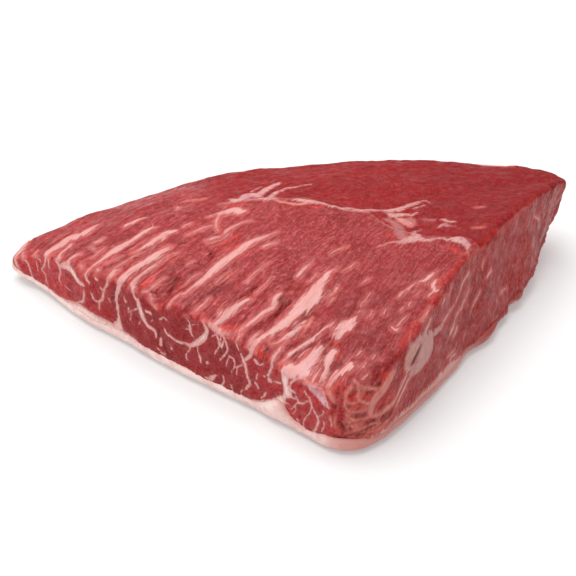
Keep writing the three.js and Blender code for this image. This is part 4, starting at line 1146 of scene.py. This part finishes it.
    # Painted shade: the clefts are painted dark red where their shadow falls
    painted_cleft_shade = stepped(tree, shaken(tree, attribute(tree, "cleft"), coarse, 0.8), -0.6, 0.4)
    colour = mixed(tree, times(tree, painted_cleft_shade, 0.75), colour, DEEP_RED)
    shade = times(tree, attribute(tree, "shade"), calc(tree, "SUBTRACT", 1.0, fat_mask))
    colour = mixed(tree, shade, colour, DEEP_RED)

    dry = blend(tree, places_on["back"], 0.55, 0.75)
    film = blend(tree, places_on["back"], 0.3, 0.5)
    wet = grouped(tree, moisture, {"Vector": here, "Dry": dry, "Wet": film, "Size": 0.005})
    height = calc(tree, "ADD", fine, grain)
    height = calc(tree, "MULTIPLY_ADD", fat_mask, 0.3, height)
    strength = blend(tree, places_on["back"], 0.9, 0.6)
    bump = put(tree, "ShaderNodeBump", {"Strength": strength, "Distance": 0.5 * MM, "Height": height})
    set_surface(tree, shader, colour, wet, bump, MEAT_SURFACE)
    return material


def fat_material(strands, moisture, fat_look):
    material, tree, shader = new_material("fat")
    here = put(tree, "ShaderNodeTexCoord").outputs["Object"]
    right = attribute(tree, "right")
    turned_up = put(tree, "ShaderNodeMapping", {"Vector": here, "Rotation": (0, math.radians(90), 0)})
    layer_sockets = {"Vector": turned_up.outputs[0], "Width": 0.0022, "Length": 0.014, "Detail": 3.0}
    layers = shaken(tree, 0.54, grouped(tree, strands, layer_sockets).outputs["Value"], 0.5)
    core = blend(tree, right, 1.0, 0.35)
    colour = grouped(tree, fat_look, {"Vector": here, "Core": core, "Thread": layers}).outputs[0]
    colour = mixed(tree, times(tree, right, 0.6), colour, SALMON_PALE)
    colour = mixed(tree, times(tree, attribute(tree, "meaty"), 0.85), colour, SIDE_RED)
    wet = grouped(tree, moisture, {"Vector": here, "Dry": 0.5, "Wet": 0.34, "Size": 0.01})
    grain = speckle(tree, here, 700.0, 3.0, 0.6)
    bump = put(tree, "ShaderNodeBump", {"Strength": 0.5, "Distance": 0.3 * MM, "Height": grain})
    set_surface(tree, shader, colour, wet, bump, FAT_SURFACE)
    return material


def finish_piece(piece, material, node):
    piece.data.materials.clear()
    piece.data.materials.append(material)
    make_active(piece)
    bpy.ops.object.shade_smooth()
    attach(piece, "root")
    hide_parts(node)


# The photograph's viewpoint: how far down it looks, from how far, at which place
CAMERA_DROP = math.radians(36)
CAMERA_DISTANCE = 0.6596
CAMERA_AIM = Vector((-1.36, -20.7, 22)) * MM
CAMERA_LENS = 85
AIM_BELOW_CENTRE = 17 / 576  # share of the picture's width

# The lamps: name, place and size in metres, and power in watts
LAMPS = [("key", (-0.28, 0.4, 1.66), 1.6, 33.5), ("fill", (-0.9, -1.0, 0.8), 1.2, 6.5)]
FLOOR_GREY = 0.6
FLOOR_GLOW = 0.2
SKY_STRENGTH = 0.6


def place_camera():
    data = bpy.data.cameras.new("camera")
    data.lens = CAMERA_LENS
    data.sensor_width = 36
    data.shift_y = AIM_BELOW_CENTRE
    camera = bpy.data.objects.new("camera", data)
    bpy.context.scene.collection.objects.link(camera)
    back = Vector((0, -math.cos(CAMERA_DROP), math.sin(CAMERA_DROP)))
    camera.location = CAMERA_AIM + back * CAMERA_DISTANCE
    camera.rotation_euler = (-back).to_track_quat("-Z", "Y").to_euler()
    bpy.context.scene.camera = camera


def softbox(name, place, size, power):
    """A square lamp that faces the middle of the piece."""
    data = bpy.data.lights.new(name, "AREA")
    data.shape = "SQUARE"
    data.size = size
    data.energy = power
    lamp = bpy.data.objects.new(name, data)
    bpy.context.scene.collection.objects.link(lamp)
    lamp.location = place
    lamp.rotation_euler = (-Vector(place)).to_track_quat("-Z", "Y").to_euler()


def build_studio():
    deselect_all()
    bpy.ops.mesh.primitive_plane_add(size=8)
    floor = bpy.context.active_object
    floor.name = "floor"
    material, tree, shader = new_material("white_floor")
    shader.inputs["Base Color"].default_value = (FLOOR_GREY, FLOOR_GREY, FLOOR_GREY, 1)
    shader.inputs["Roughness"].default_value = 0.9
    shader.inputs["Emission Color"].default_value = (1, 1, 1, 1)
    shader.inputs["Emission Strength"].default_value = FLOOR_GLOW
    shader.inputs["Specular IOR Level"].default_value = 0.0
    floor.data.materials.append(material)
    world = bpy.data.worlds.new("studio")
    world.use_nodes = True
    sky = world.node_tree.nodes["Background"]
    sky.inputs["Color"].default_value = (1, 1, 1, 1)
    sky.inputs["Strength"].default_value = SKY_STRENGTH
    bpy.context.scene.world = world
    bpy.context.scene.view_settings.view_transform = "Standard"
    for lamp in LAMPS:
        softbox(*lamp)


strand_group = make_strand_group()
moisture_group = make_moisture_group()
fat_group = make_fat_group()
place_camera()
meat_finish = lean_material(strand_group, moisture_group, fat_group)
finish_piece(model_lean_meat(), meat_finish, "lean_muscle")
finish_piece(model_fat_layer(), fat_material(strand_group, moisture_group, fat_group), "fat_cap")
build_studio()
